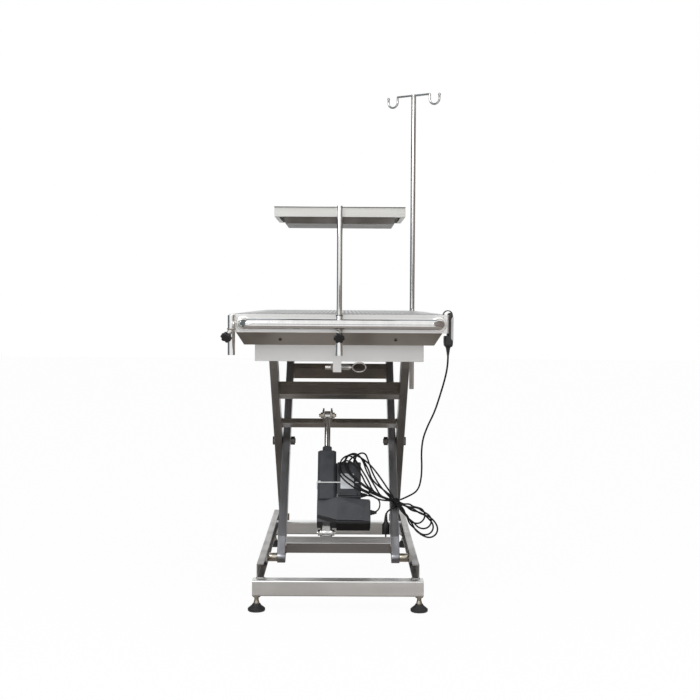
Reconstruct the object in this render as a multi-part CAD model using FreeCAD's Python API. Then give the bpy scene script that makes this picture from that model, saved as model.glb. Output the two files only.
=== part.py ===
import FreeCAD, Part
import math
import os

# Electric scissor-lift veterinary examination table, standing at rest height.
# Millimetres. X runs across the table, Y along it, Z up. Everything is drawn from the floor
# under the middle of the table, and each finished piece is then moved by the same step, so
# that the origin lies under the middle of the whole outline, with its knobs and hooks.
# The front end, with the instrument post, is at -Y.

V = FreeCAD.Vector

# ---------------------------------------------------------------- driving dimensions

# The middle of the whole outline, from the middle of the table.
OUTLINE_MIDDLE = V(20.3, 11.8, 0)

# Running fit between a pin and the hole that turns on it, on the radius.
FIT = 0.05
# Gap between parts that pass each other without touching.
GAP = 0.5
# Gap between a roller and the flanges of its track, on the radius.
TRACK_GAP = 0.3

# Lift
REST_ANGLE = 42.2
ARM_LENGTH = 937.5
REAR_PIVOT_INSET = 27.0

# Levelling feet
FOOT_RADIUS = 25.0
FOOT_PAD_HEIGHT = 22.0
FOOT_NECK_RADIUS = 13.0
FOOT_RIM = 8.0
FOOT_HEIGHT = 47.0
STUD_RADIUS = 6.0
STUD_FOOT_DEPTH = 12.0
STUD_CUP_RADIUS = 9.0
STUD_CUP_HEIGHT = 9.0
LOCK_NUT_FLATS = 19.0
LOCK_NUT_HEIGHT = 7.0
FOOT_INSET_X = 11.5

# Base frame
BASE_WIDTH = 490.0
BASE_LENGTH = 976.0
BASE_TUBE = 45.0
BASE_TUBE_CORNER = 4.0
TUBE_WALL = 2.0
RAIL_HEIGHT = 42.0
RAIL_WIDTH = 20.0
RAIL_WALL = 3.0
RAIL_INSET_X = 11.0
RAIL_SETBACK = 29.0

# Scissor arms, 50 x 25 rectangular tube
ARM_DEPTH = 50.0
ARM_WIDTH = 25.0
ARM_NOSE = 17.0
ARM_TAPER = 60.0
ARM_WALL = 2.5
ARM_SOLID_END = 75.0
ARM_SOLID_MIDDLE = 30.0
ARM_SPACING = 2.0
ARM_RAIL_GAP = 1.5
PIN_RADIUS = 8.0
PIN_HEAD_RADIUS = 13.0
PIN_HEAD_HEIGHT = 7.0
NUT_FLATS = 24.0
NUT_HEIGHT = 13.0
ROLLER_FACE_GAP = 1.0
BOSS_RADIUS = 13.0

# Crossbars: where each lies on its arm, and its section along and across the arm
UPPER_BAR_PLACE = 739.0
UPPER_BAR_ALONG = 25.0
UPPER_BAR_ACROSS = 50.0
LIFT_BAR_PLACE = 548.0
LIFT_BAR_OFFSET = 14.0
LIFT_BAR_ALONG = 25.0
LIFT_BAR_ACROSS = 20.0
FRONT_BAR_PLACE = 46.0
REAR_BAR_PLACE = 792.0
INNER_BAR_ALONG = 25.0
INNER_BAR_ACROSS = 50.0

# Linear actuator: its two pins, measured on the arms, and its housings
ACTUATOR_X = -38.0
FOOT_PIN_PLACE = 81.45
FOOT_PIN_OFFSET = 13.9
ROD_PIN_PLACE = 579.75
ROD_PIN_OFFSET = 21.55
ACTUATOR_PIN_RADIUS = 5.0
ACTUATOR_PIN_LENGTH = 56.0
BOLT_HEAD_FLATS = 16.0
BOLT_HEAD_HEIGHT = 6.0
EAR_THICKNESS = 5.0
EAR_GAP = 0.8
EAR_RIM = 9.0
EYE_RADIUS = 14.0
ROD_RADIUS = 9.5
# The rod pin has room to wander in the ears, because the lift's joints turn in constant
# ratios: this is the radius of that room and the place of its middle from the pin at rest.
PIN_ROOM = 5.8
PIN_ROOM_ALONG = 3.4
PIN_ROOM_ACROSS = 1.6
LUG_RADIUS = 12.0
LUG_WIDTH = 24.0
MOTOR_START = 24.0
MOTOR_END = 104.0
MOTOR_LEFT = 29.0
MOTOR_RIGHT = 136.0
MOTOR_THICKNESS = 60.0
MOTOR_CHAMFER = 10.0
SPINDLE_WIDTH = 58.0
SPINDLE_THICKNESS = 46.0
SPINDLE_END = 271.0
SPINDLE_CORNER = 8.0
COLLAR_RADIUS = 15.0
COLLAR_LENGTH = 21.0
ROD_IN_HOUSING = 105.0
CONTROL_START = 112.0
CONTROL_LENGTH = 122.0
CONTROL_GAP = 4.0
CONTROL_WIDTH = 74.0
CONTROL_THICKNESS = 40.0
CONTROL_LID = 4.0
CONTROL_LID_INSET = 4.0

# Sub-frame under the top
SUBFRAME_OVERHANG_X = 6.0
SUBFRAME_OVERHANG_Y = 37.0
SUBFRAME_HEIGHT = 50.0
SUBFRAME_FLANGE = 25.0
SUBFRAME_WALL = 3.0
SUBFRAME_END_FLANGE = 20.0

# Table top, drain basin and perforated deck
TOP_WIDTH = 600.0
TOP_LENGTH = 1200.0
TOP_CORNER = 6.0
APRON_HEIGHT = 50.0
SHEET = 2.0
BASIN_SHEET = 1.5
LIP_WIDTH = 8.0
GUTTER_DEPTH = 6.0
LEDGE_WIDTH = 45.0
BASIN_DROP = 35.0
BASIN_INSET = 16.0
BASIN_TAPER = 21.0
DRAIN_RADIUS = 20.0
DRAIN_FLANGE = 64.0
DRAIN_LENGTH = 32.0
DECK_INSET = 33.0
DECK_PROUD = 3.0

# Push rail across the front
RAIL_TUBE_RADIUS = 14.0
RAIL_TUBE_WALL = 1.5
PUSH_RAIL_SPAN = 534.0
PUSH_RAIL_SHIFT = 6.0
PUSH_RAIL_REACH = 41.0
PUSH_RAIL_BEND = 26.0
PUSH_RAIL_DROP = 26.0

# Sockets, clamp knobs, instrument post and infusion pole
SOCKET_LENGTH = 109.0
SOCKET_DROP = 3.0
SOCKET_WALL = 1.5
STRAP_WIDTH = 12.0
POST_RADIUS = 7.5
POST_WALL = 1.2
POLE_RADIUS = 9.5
POLE_WALL = 1.5
LINER_WALL = 1.0
LINER_FLANGE = 2.0
CORNER_SOCKET_X = -294.0
POLE_SOCKET_X = 266.0
BOSS_DROP = 42.0
KNOB_TILT = 38.0
KNOB_TURN = 26.0
KNOB_BOSS_RADIUS = 7.0
KNOB_BOSS_REACH = 26.0
KNOB_SCREW_RADIUS = 4.0
KNOB_RADIUS = 15.0
KNOB_LOBES = 6
KNOB_LOBE_RADIUS = 5.0
KNOB_HUB_RADIUS = 11.0
KNOB_THICKNESS = 13.0
POST_TOP = 1148.0
POST_BOTTOM = 748.0
POLE_TOP = 1645.0
POLE_BOTTOM = 563.0

# Instrument tray
TRAY_WIDTH = 357.0
TRAY_DEPTH = 268.0
TRAY_TOP = 1144.7
TRAY_LIP = 26.0
TRAY_SHEET = 1.5
TRAY_BORDER = 20.0
TRAY_RETURN = 12.0
TRAY_GAP = 2.0
SADDLE_WIDTH = 22.0
SADDLE_WRAP = 5.5
DISH_DEPTH = 43.0
DISH_WIDTH = 312.0
DISH_LENGTH = 232.0
DISH_TAPER = 6.5
DISH_RIM = 7.0

# Infusion hook bar
HOOK_TURN = 34.0
HOOK_WIRE = 4.0
HOOK_ARM = 69.0
HOOK_WIDTH = 40.0
HOOK_DROP = 18.0
HOOK_TIP_RISE = 14.0
HOOK_BALL = 5.5
POLE_CAP = 8.0

# Locking pin under the front of the sub-frame
LATCH_X = -6.0
LATCH_WIDTH = 24.0
LATCH_PLATE = 3.0
LATCH_TOP = 16.0
LATCH_DROP = 31.0
LATCH_DEPTH = 26.0
LOCK_PIN_RADIUS = 6.0
LOCK_PIN_Z_DROP = 17.0
LOCK_PIN_OUT = 27.0
LOCK_PIN_IN = 22.0
LOCK_COLLAR_RADIUS = 9.0
LOCK_COLLAR_PLACE = 3.5
LOCK_COLLAR_LENGTH = 8.0
RING_RADIUS = 19.0
RING_WIRE = 2.2
RING_TILT = 44.0
RING_NECK = 5.0

# Hand control, hung over the right edge of the top
HANDSET_Y = -535.0
HANDSET_LENGTH = 96.0
HANDSET_WIDTH = 46.0
HANDSET_THICK = 15.5
HANDSET_HEEL = 9.0
HANDSET_HEEL_TOP = 8.5
HANDSET_TOP_RISE = 6.0
HANDSET_CORNER = 6.0
HOOK_WALL = 3.0
HOOK_LIP = 2.5
BUTTON_RADIUS = 7.0
BUTTON_PROUD = 2.0
BUTTON_TRAVEL = 1.5
BUTTON_PITCH = 24.0
BUTTON_FROM_TOP = 24.0
RELIEF_LENGTH = 26.0
RELIEF_TOP_RADIUS = 5.0
RELIEF_END_RADIUS = 3.2

# Cords. Each route is a list of the points that its straight runs aim at.
CORD_RADIUS = 2.6
MOTOR_CORD_RADIUS = 2.25
CORD_BEND = 0.45
MOTOR_CORD_LOW = 68.0
MOTOR_CORD_HIGH = 127.0
MOTOR_CORD_REACH = 30.0

# The hank of mains lead: it is tied at its knot, beside the control box, and one lobe lies
# over the box while the other hangs outside the right-hand inner arm.
KNOT = V(178, -154, 266)
KNOT_RADIUS = 12.0
TIE_RADIUS = 6.0
TIE_LENGTH = 16.0
HANK_THICKNESS = 11.0
HANK_MIDDLE = V(92, -142, 327)
HANK_MIDDLE_RADIUS = 22.0
HANK_END_X = 30.0
HANK_END_PLACE = 222.0
HANK_END_OFFSET = 28.0
HANK_END_RADIUS = 24.0
HANK_NECK_X = 48.0
HANK_NECK_PLACE = 243.0
LOBE_START_X = 188.5
LOBE_TIP = V(313, -167, 188)
LOBE_OUTLINE = [
    (LOBE_START_X, 250),
    (208, 210),
    (240, 172),
    (272, 157),
    (301, 162),
    (LOBE_TIP.x, LOBE_TIP.z),
    (301, 216),
    (252, 243),
    (LOBE_START_X, 264),
]

PLUG_RADIUS = 12.0
PLUG_LENGTH = 42.0
PLUG_NECK = 10.0
PLUG_NECK_RADIUS = 4.5
PLUG_PINS = 16.0
PLUG_PIN_RADIUS = 2.2
PLUG_PIN_SPACING = 12.0
PLUG_TOP = V(147, -158, 207)

# ---------------------------------------------------------------- sizes worked out

BASE_TOP = FOOT_HEIGHT + BASE_TUBE
REAR_PIVOT_Y = BASE_LENGTH / 2 - RAIL_SETBACK - REAR_PIVOT_INSET
LOWER_Z = BASE_TOP + RAIL_HEIGHT / 2
UPPER_Z = LOWER_Z + ARM_LENGTH * math.sin(math.radians(REST_ANGLE))
FRONT_Y = REAR_PIVOT_Y - ARM_LENGTH * math.cos(math.radians(REST_ANGLE))
RAIL_FACE = BASE_WIDTH / 2 - RAIL_INSET_X
RAIL_WEB = RAIL_FACE - RAIL_WALL
RAIL_MOUTH = RAIL_FACE - RAIL_WIDTH
FOOT_X = BASE_WIDTH / 2 - FOOT_INSET_X
FOOT_Y = BASE_LENGTH / 2 - BASE_TUBE / 2

OUTER_ARM_FACE = RAIL_MOUTH - ARM_RAIL_GAP
OUTER_ARM_INNER = OUTER_ARM_FACE - ARM_WIDTH
INNER_ARM_FACE = OUTER_ARM_INNER - ARM_SPACING
INNER_ARM_INNER = INNER_ARM_FACE - ARM_WIDTH

SUBFRAME_TOP = UPPER_Z + SUBFRAME_HEIGHT / 2
SUBFRAME_BOTTOM = UPPER_Z - SUBFRAME_HEIGHT / 2
SUBFRAME_FACE = RAIL_FACE + SUBFRAME_OVERHANG_X
SUBFRAME_WEB = SUBFRAME_FACE - SUBFRAME_WALL
SUBFRAME_MOUTH = SUBFRAME_FACE - SUBFRAME_FLANGE
SUBFRAME_END = REAR_PIVOT_Y + SUBFRAME_OVERHANG_Y

APRON_BOTTOM = SUBFRAME_TOP + BASIN_DROP
RIM_Z = APRON_BOTTOM + APRON_HEIGHT
LEDGE_Z = RIM_Z - GUTTER_DEPTH
DECK_TOP = RIM_Z + DECK_PROUD
TOP_X = TOP_WIDTH / 2
TOP_Y = TOP_LENGTH / 2

SOCKET_TOP = RIM_Z - SOCKET_DROP
SOCKET_BOTTOM = SOCKET_TOP - SOCKET_LENGTH
POST_SOCKET_BORE = POST_RADIUS + LINER_WALL + 2 * FIT
POLE_SOCKET_BORE = POLE_RADIUS + LINER_WALL + 2 * FIT
POST_SOCKET_RADIUS = POST_SOCKET_BORE + SOCKET_WALL
POLE_SOCKET_RADIUS = POLE_SOCKET_BORE + SOCKET_WALL
POST_Y = -TOP_Y - POST_SOCKET_RADIUS
POLE_Y = TOP_Y + POLE_SOCKET_RADIUS
TRAY_FRONT = POST_Y + POST_RADIUS + TRAY_GAP
TRAY_BOTTOM = TRAY_TOP - TRAY_LIP
TRAY_MIDDLE_Y = TRAY_FRONT + TRAY_DEPTH / 2

LATCH_FRONT = -SUBFRAME_END
LOCK_PIN_Z = SUBFRAME_BOTTOM - LOCK_PIN_Z_DROP
LOCK_PIN_Y = LATCH_FRONT + LATCH_DEPTH / 2

HANDSET_INNER = TOP_X + GAP
HANDSET_OUTER = HANDSET_INNER + HANDSET_THICK
HANDSET_TOP = RIM_Z + HANDSET_TOP_RISE
HANDSET_BOTTOM = HANDSET_TOP - HANDSET_LENGTH
HANDSET_MIDDLE_X = HANDSET_OUTER - (HANDSET_THICK + HANDSET_HEEL) / 2


# ---------------------------------------------------------------- shape helpers

def box(x0, x1, y0, y1, z0, z1):
    """A box between two corners."""
    return Part.makeBox(x1 - x0, y1 - y0, z1 - z0, V(x0, y0, z0))


def rod(radius, start, end):
    """A round bar from one point to another."""
    axis = end.sub(start)
    return Part.makeCylinder(radius, axis.Length, start, axis)


def tube(radius, bore, start, end):
    """A round tube from one point to another, open at both ends."""
    return rod(radius, start, end).cut(rod(bore, start, end))


def prism(points, x0, x1):
    """A flat outline of (y, z) points, made thick along X."""
    corners = [V(x0, y, z) for y, z in points]
    face = Part.Face(Part.makePolygon(corners + corners[:1]))
    return face.extrude(V(x1 - x0, 0, 0))


def hexagon(flats, height, start, axis):
    """A hexagonal bar, like a nut or a bolt head, standing on its start point."""
    corner = flats / math.sqrt(3)
    points = []
    for index in range(6):
        angle = math.radians(60 * index)
        points.append(V(corner * math.cos(angle), corner * math.sin(angle), 0))
    shape = Part.Face(Part.makePolygon(points + points[:1])).extrude(V(0, 0, height))
    shape.Placement = FreeCAD.Placement(start, FreeCAD.Rotation(V(0, 0, 1), axis))
    return shape


def rounded_box(x0, x1, y0, y1, z0, z1, radius, axis):
    """A box whose four edges along one axis are rounded."""
    shape = box(x0, x1, y0, y1, z0, z1)
    edges = []
    for edge in shape.Edges:
        direction = edge.Vertexes[1].Point.sub(edge.Vertexes[0].Point).normalize()
        if abs(direction.dot(axis)) > 0.9:
            edges.append(edge)
    return shape.makeFillet(radius, edges)


def mirrored_x(shape):
    """The same shape on the other side of the table."""
    return shape.mirror(V(0, 0, 0), V(1, 0, 0))


def pair(shape):
    """A right-hand piece and its left-hand twin."""
    return Part.makeCompound([shape, mirrored_x(shape)])


def frustum(half_x0, half_y0, z0, half_x1, half_y1, z1, middle_y):
    """A block whose rectangular section changes evenly from one height to another."""
    wires = []
    for half_x, half_y, z in ((half_x0, half_y0, z0), (half_x1, half_y1, z1)):
        corners = [
            V(-half_x, middle_y - half_y, z),
            V(half_x, middle_y - half_y, z),
            V(half_x, middle_y + half_y, z),
            V(-half_x, middle_y + half_y, z),
        ]
        wires.append(Part.makePolygon(corners + corners[:1]))
    return Part.makeLoft(wires, True, True)


# A working line is a start point (y, z), an angle from +Y towards +Z, and the side its
# offsets are counted to. The arms and the actuator are drawn along their own lines.

OUTER_LINE = (REAR_PIVOT_Y, LOWER_Z, 180.0 - REST_ANGLE, -1)
INNER_LINE = (FRONT_Y, LOWER_Z, REST_ANGLE, 1)


def on_line(line, along, across):
    """The (y, z) place of a point measured along and across a working line."""
    y, z, angle, side = line
    cos = math.cos(math.radians(angle))
    sin = math.sin(math.radians(angle))
    return (y + along * cos - side * across * sin, z + along * sin + side * across * cos)


def point_on(line, x, along, across):
    """The same place as a point in space."""
    y, z = on_line(line, along, across)
    return V(x, y, z)


def actuator_line():
    """The actuator's line runs from its foot pin to its rod pin."""
    foot_y, foot_z = on_line(INNER_LINE, FOOT_PIN_PLACE, FOOT_PIN_OFFSET)
    pin_y, pin_z = on_line(OUTER_LINE, ROD_PIN_PLACE, ROD_PIN_OFFSET)
    angle = math.degrees(math.atan2(pin_z - foot_z, pin_y - foot_y))
    return (foot_y, foot_z, angle, 1), math.hypot(pin_y - foot_y, pin_z - foot_z)


ACTUATOR_LINE, PIN_DISTANCE = actuator_line()


def block_on(line, along0, along1, across0, across1, x0, x1):
    """A box lined up with a working line."""
    corners = [
        on_line(line, along0, across0),
        on_line(line, along1, across0),
        on_line(line, along1, across1),
        on_line(line, along0, across1),
    ]
    return prism(corners, x0, x1)


def pin_on(line, along, across, radius, x0, x1):
    """A round bar along X through a place on a working line."""
    return rod(radius, point_on(line, x0, along, across), point_on(line, x1, along, across))


# ---------------------------------------------------------------- base

def base_cross_tube(front_y):
    """One square tube across the base, closed at both ends, with holes for the studs."""
    shape = rounded_box(
        -BASE_WIDTH / 2, BASE_WIDTH / 2, front_y, front_y + BASE_TUBE,
        FOOT_HEIGHT, BASE_TOP, BASE_TUBE_CORNER, V(1, 0, 0))
    hollow = box(
        -BASE_WIDTH / 2 + TUBE_WALL, BASE_WIDTH / 2 - TUBE_WALL,
        front_y + TUBE_WALL, front_y + BASE_TUBE - TUBE_WALL,
        FOOT_HEIGHT + TUBE_WALL, BASE_TOP - TUBE_WALL)
    shape = shape.cut(hollow)
    middle = front_y + BASE_TUBE / 2
    for x in (-FOOT_X, FOOT_X):
        hole = rod(STUD_RADIUS, V(x, middle, FOOT_HEIGHT - 1), V(x, middle, FOOT_HEIGHT + TUBE_WALL + 1))
        shape = shape.cut(hole)
    return shape


def base_cross_tubes():
    front = base_cross_tube(-BASE_LENGTH / 2)
    return Part.makeCompound([front, base_cross_tube(BASE_LENGTH / 2 - BASE_TUBE)])


def base_rail():
    """The right-hand roller track: a channel, open towards the arms, with the pivot boss."""
    y0 = -BASE_LENGTH / 2 + RAIL_SETBACK
    y1 = -y0
    shape = box(RAIL_MOUTH, RAIL_FACE, y0, y1, BASE_TOP, BASE_TOP + RAIL_HEIGHT)
    track = box(
        RAIL_MOUTH - 1, RAIL_WEB, y0 - 1, y1 + 1,
        BASE_TOP + RAIL_WALL, BASE_TOP + RAIL_HEIGHT - RAIL_WALL)
    shape = shape.cut(track)
    boss = rod(BOSS_RADIUS, V(OUTER_ARM_FACE + ROLLER_FACE_GAP, REAR_PIVOT_Y, LOWER_Z),
               V(RAIL_WEB, REAR_PIVOT_Y, LOWER_Z))
    shape = shape.fuse(boss)
    hole = rod(PIN_RADIUS, V(RAIL_MOUTH - 5, REAR_PIVOT_Y, LOWER_Z),
               V(RAIL_FACE + 1, REAR_PIVOT_Y, LOWER_Z))
    return shape.cut(hole)


def base_rail_right():
    return base_rail()


def base_rail_left():
    return mirrored_x(base_rail())


def lower_pivot_pin():
    """The shouldered pin that the outer arm turns on, headed inside the arm."""
    head_x = OUTER_ARM_INNER - ROLLER_FACE_GAP
    start = V(head_x, REAR_PIVOT_Y, LOWER_Z)
    shape = rod(PIN_RADIUS, start, V(RAIL_FACE, REAR_PIVOT_Y, LOWER_Z))
    head = rod(PIN_HEAD_RADIUS, V(head_x - PIN_HEAD_HEIGHT, REAR_PIVOT_Y, LOWER_Z), start)
    return shape.fuse(head)


def lower_pivot_pins():
    return pair(lower_pivot_pin())


def each_foot(piece):
    """Four copies of a foot piece, one under each end of the cross tubes."""
    copies = []
    for x in (-FOOT_X, FOOT_X):
        for y in (-FOOT_Y, FOOT_Y):
            copy = piece.copy()
            copy.translate(V(x, y, 0))
            copies.append(copy)
    return copies


def foot_studs():
    """Threaded studs, each with the round metal cup that sits on its pad and its lock nut."""
    bottom = FOOT_PAD_HEIGHT - STUD_FOOT_DEPTH
    shank = rod(STUD_RADIUS, V(0, 0, bottom), V(0, 0, FOOT_HEIGHT + BASE_TUBE / 2))
    cup = Part.makeCone(
        STUD_CUP_RADIUS, STUD_RADIUS + 1, STUD_CUP_HEIGHT,
        V(0, 0, FOOT_PAD_HEIGHT + FIT), V(0, 0, 1))
    nut = hexagon(LOCK_NUT_FLATS, LOCK_NUT_HEIGHT, V(0, 0, FOOT_HEIGHT - LOCK_NUT_HEIGHT), V(0, 0, 1))
    hole = rod(STUD_RADIUS, V(0, 0, 0), V(0, 0, FOOT_HEIGHT + 1))
    return Part.makeCompound(each_foot(shank.fuse(cup)) + each_foot(nut.cut(hole)))


def foot_pad(x, y):
    """A rubber foot, turned to a low bell shape, that swivels on its stud."""
    outline = [
        V(0, 0, 0),
        V(FOOT_RADIUS - 2, 0, 0),
        V(FOOT_RADIUS, 0, 2),
        V(FOOT_RADIUS, 0, FOOT_RIM),
        V(FOOT_NECK_RADIUS, 0, FOOT_PAD_HEIGHT - 4),
        V(FOOT_NECK_RADIUS - 2, 0, FOOT_PAD_HEIGHT),
        V(0, 0, FOOT_PAD_HEIGHT),
    ]
    face = Part.Face(Part.makePolygon(outline + outline[:1]))
    shape = face.revolve(V(0, 0, 0), V(0, 0, 1), 360)
    bottom = FOOT_PAD_HEIGHT - STUD_FOOT_DEPTH - FIT
    socket = rod(STUD_RADIUS + FIT, V(0, 0, bottom), V(0, 0, FOOT_PAD_HEIGHT + 1))
    shape = shape.cut(socket)
    shape.translate(V(x, y, 0))
    return shape


# ---------------------------------------------------------------- scissor arms

def arm(line, x0, x1, holes):
    """A rectangular tube arm with mitred, rounded ends, drilled at both ends and the middle."""
    half = ARM_DEPTH / 2
    outline = [
        (0, -ARM_NOSE), (ARM_TAPER, -half), (ARM_LENGTH - ARM_TAPER, -half), (ARM_LENGTH, -ARM_NOSE),
        (ARM_LENGTH, ARM_NOSE), (ARM_LENGTH - ARM_TAPER, half), (ARM_TAPER, half), (0, ARM_NOSE),
    ]
    shape = prism([on_line(line, along, across) for along, across in outline], x0, x1)
    for end in (0, ARM_LENGTH):
        shape = shape.fuse(pin_on(line, end, 0, ARM_NOSE, x0, x1))
    middle = ARM_LENGTH / 2
    depth = half - ARM_WALL
    for along0, along1 in ((ARM_SOLID_END, middle - ARM_SOLID_MIDDLE),
                           (middle + ARM_SOLID_MIDDLE, ARM_LENGTH - ARM_SOLID_END)):
        shape = shape.cut(block_on(line, along0, along1, -depth, depth, x0 + ARM_WALL, x1 - ARM_WALL))
    for along, radius in zip((0, middle, ARM_LENGTH), holes):
        shape = shape.cut(pin_on(line, along, 0, radius, x0 - 1, x1 + 1))
    return shape.removeSplitter()


def outer_arm_right():
    return arm(OUTER_LINE, OUTER_ARM_INNER, OUTER_ARM_FACE, (PIN_RADIUS + FIT, PIN_RADIUS, PIN_RADIUS))


def outer_arm_left():
    return mirrored_x(outer_arm_right())


def inner_arm_right():
    return arm(INNER_LINE, INNER_ARM_INNER, INNER_ARM_FACE,
               (PIN_RADIUS, PIN_RADIUS + FIT, PIN_RADIUS + FIT))


def inner_arm_left():
    return mirrored_x(inner_arm_right())


def crossbar(line, place, offset, along, across, reach):
    """A rectangular tube welded between two arms."""
    outside = block_on(line, place - along / 2, place + along / 2,
                       offset - across / 2, offset + across / 2, -reach, reach)
    inside = block_on(line, place - along / 2 + TUBE_WALL, place + along / 2 - TUBE_WALL,
                      offset - across / 2 + TUBE_WALL, offset + across / 2 - TUBE_WALL,
                      -reach - 1, reach + 1)
    return outside.cut(inside)


def outer_crossbars():
    """The bar near the top of the outer arms, and the bar that the actuator pushes."""
    upper = crossbar(OUTER_LINE, UPPER_BAR_PLACE, 0, UPPER_BAR_ALONG, UPPER_BAR_ACROSS, OUTER_ARM_INNER)
    lift = crossbar(OUTER_LINE, LIFT_BAR_PLACE, LIFT_BAR_OFFSET, LIFT_BAR_ALONG, LIFT_BAR_ACROSS,
                    OUTER_ARM_INNER)
    return Part.makeCompound([upper, lift])


def inner_crossbars():
    """The two bars between the inner arms, at their front and rear ends."""
    bars = []
    for place in (FRONT_BAR_PLACE, REAR_BAR_PLACE):
        bars.append(crossbar(INNER_LINE, place, 0, INNER_BAR_ALONG, INNER_BAR_ACROSS, INNER_ARM_INNER))
    return Part.makeCompound(bars)


def centre_pivot_bolt():
    """The bolt that joins an outer and an inner arm, with its head outside and nut inside."""
    middle = ARM_LENGTH / 2
    y, z = on_line(OUTER_LINE, middle, 0)
    nut_x = INNER_ARM_INNER - ROLLER_FACE_GAP
    shape = rod(PIN_RADIUS, V(nut_x - NUT_HEIGHT - 2, y, z), V(OUTER_ARM_FACE, y, z))
    head = hexagon(NUT_FLATS, PIN_HEAD_HEIGHT, V(OUTER_ARM_FACE, y, z), V(1, 0, 0))
    nut = hexagon(NUT_FLATS, NUT_HEIGHT, V(nut_x - NUT_HEIGHT, y, z), V(1, 0, 0))
    return shape.fuse([head, nut])


def arm_washer():
    """The thin washer that keeps the two arms apart at the centre pivot."""
    y, z = on_line(OUTER_LINE, ARM_LENGTH / 2, 0)
    return tube(PIN_HEAD_RADIUS, PIN_RADIUS, V(INNER_ARM_FACE + FIT, y, z), V(OUTER_ARM_INNER, y, z))


def centre_pivot_bolts():
    bolt = centre_pivot_bolt()
    washer = arm_washer()
    return Part.makeCompound([bolt, mirrored_x(bolt), washer, mirrored_x(washer)])


def roller(y, z, radius, inner_x, outer_x):
    """A plastic roller, grooved round its middle, that runs in a channel."""
    shape = tube(radius, PIN_RADIUS + FIT, V(inner_x, y, z), V(outer_x, y, z))
    bevel = 1.5
    edges = [edge for edge in shape.Edges if abs(edge.Length - 2 * math.pi * radius) < 1]
    return shape.makeChamfer(bevel, edges)


def lower_rollers():
    radius = RAIL_HEIGHT / 2 - RAIL_WALL - TRACK_GAP
    return pair(roller(FRONT_Y, LOWER_Z, radius, RAIL_MOUTH + ROLLER_FACE_GAP, RAIL_WEB - ROLLER_FACE_GAP))


def upper_rollers():
    radius = SUBFRAME_HEIGHT / 2 - SUBFRAME_WALL - TRACK_GAP
    return pair(roller(FRONT_Y, UPPER_Z, radius,
                       SUBFRAME_MOUTH + ROLLER_FACE_GAP, SUBFRAME_WEB - 4 * ROLLER_FACE_GAP))


def lower_axles():
    """Stub shafts from the inner arms' front ends out to the rollers in the base."""
    end = RAIL_WEB - 2 * GAP
    shaft = rod(PIN_RADIUS, V(INNER_ARM_INNER, FRONT_Y, LOWER_Z), V(end, FRONT_Y, LOWER_Z))
    collar = tube(PIN_HEAD_RADIUS, PIN_RADIUS, V(INNER_ARM_FACE, FRONT_Y, LOWER_Z),
                  V(RAIL_MOUTH - ROLLER_FACE_GAP, FRONT_Y, LOWER_Z))
    return pair(shaft.fuse(collar))


def upper_axles():
    """Stub shafts from the outer arms' front ends out to the rollers under the top."""
    end = SUBFRAME_WEB - 2 * GAP
    shaft = rod(PIN_RADIUS, V(OUTER_ARM_INNER, FRONT_Y, UPPER_Z), V(end, FRONT_Y, UPPER_Z))
    collar = tube(PIN_HEAD_RADIUS, PIN_RADIUS, V(OUTER_ARM_FACE, FRONT_Y, UPPER_Z),
                  V(SUBFRAME_MOUTH, FRONT_Y, UPPER_Z))
    return pair(shaft.fuse(collar))


# ---------------------------------------------------------------- actuator

def ear_pair(shape_of, half_gap):
    """Two equal ears, one each side of the actuator's middle plane."""
    ears = []
    for x0 in (ACTUATOR_X - half_gap - EAR_THICKNESS, ACTUATOR_X + half_gap):
        ears.append(shape_of(x0, x0 + EAR_THICKNESS))
    return Part.makeCompound(ears)


def rod_bracket():
    """Ears on the lift crossbar, with a roomy hole that the rod pin floats in."""
    hole_radius = ACTUATOR_PIN_RADIUS + PIN_ROOM
    along = ROD_PIN_PLACE + PIN_ROOM_ALONG
    across = ROD_PIN_OFFSET + PIN_ROOM_ACROSS
    face = LIFT_BAR_PLACE + LIFT_BAR_ALONG / 2
    bottom = LIFT_BAR_OFFSET - LIFT_BAR_ACROSS / 2

    def ear(x0, x1):
        rim = hole_radius + EAR_RIM
        plate = block_on(OUTER_LINE, face, along, bottom, across + rim, x0, x1)
        shape = plate.fuse(pin_on(OUTER_LINE, along, across, rim, x0, x1))
        shape = shape.cut(pin_on(OUTER_LINE, along, across, hole_radius, x0 - 1, x1 + 1))
        behind = block_on(OUTER_LINE, face - 2 * rim, face,
                          across - 2 * rim, across + 2 * rim, x0 - 1, x1 + 1)
        return shape.cut(behind).removeSplitter()

    return ear_pair(ear, ROD_RADIUS + EAR_GAP)


def foot_ears():
    """Ears on the front crossbar that hold the actuator's foot pin."""
    face = FRONT_BAR_PLACE + INNER_BAR_ALONG / 2
    rim = ACTUATOR_PIN_RADIUS + EAR_RIM

    def ear(x0, x1):
        plate = block_on(INNER_LINE, face, FOOT_PIN_PLACE, FOOT_PIN_OFFSET - rim,
                         FOOT_PIN_OFFSET + rim / 2, x0, x1)
        shape = plate.fuse(pin_on(INNER_LINE, FOOT_PIN_PLACE, FOOT_PIN_OFFSET, rim, x0, x1))
        hole = pin_on(INNER_LINE, FOOT_PIN_PLACE, FOOT_PIN_OFFSET, ACTUATOR_PIN_RADIUS, x0 - 1, x1 + 1)
        return shape.cut(hole).removeSplitter()

    return ear_pair(ear, LUG_WIDTH / 2 + EAR_GAP)


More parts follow.
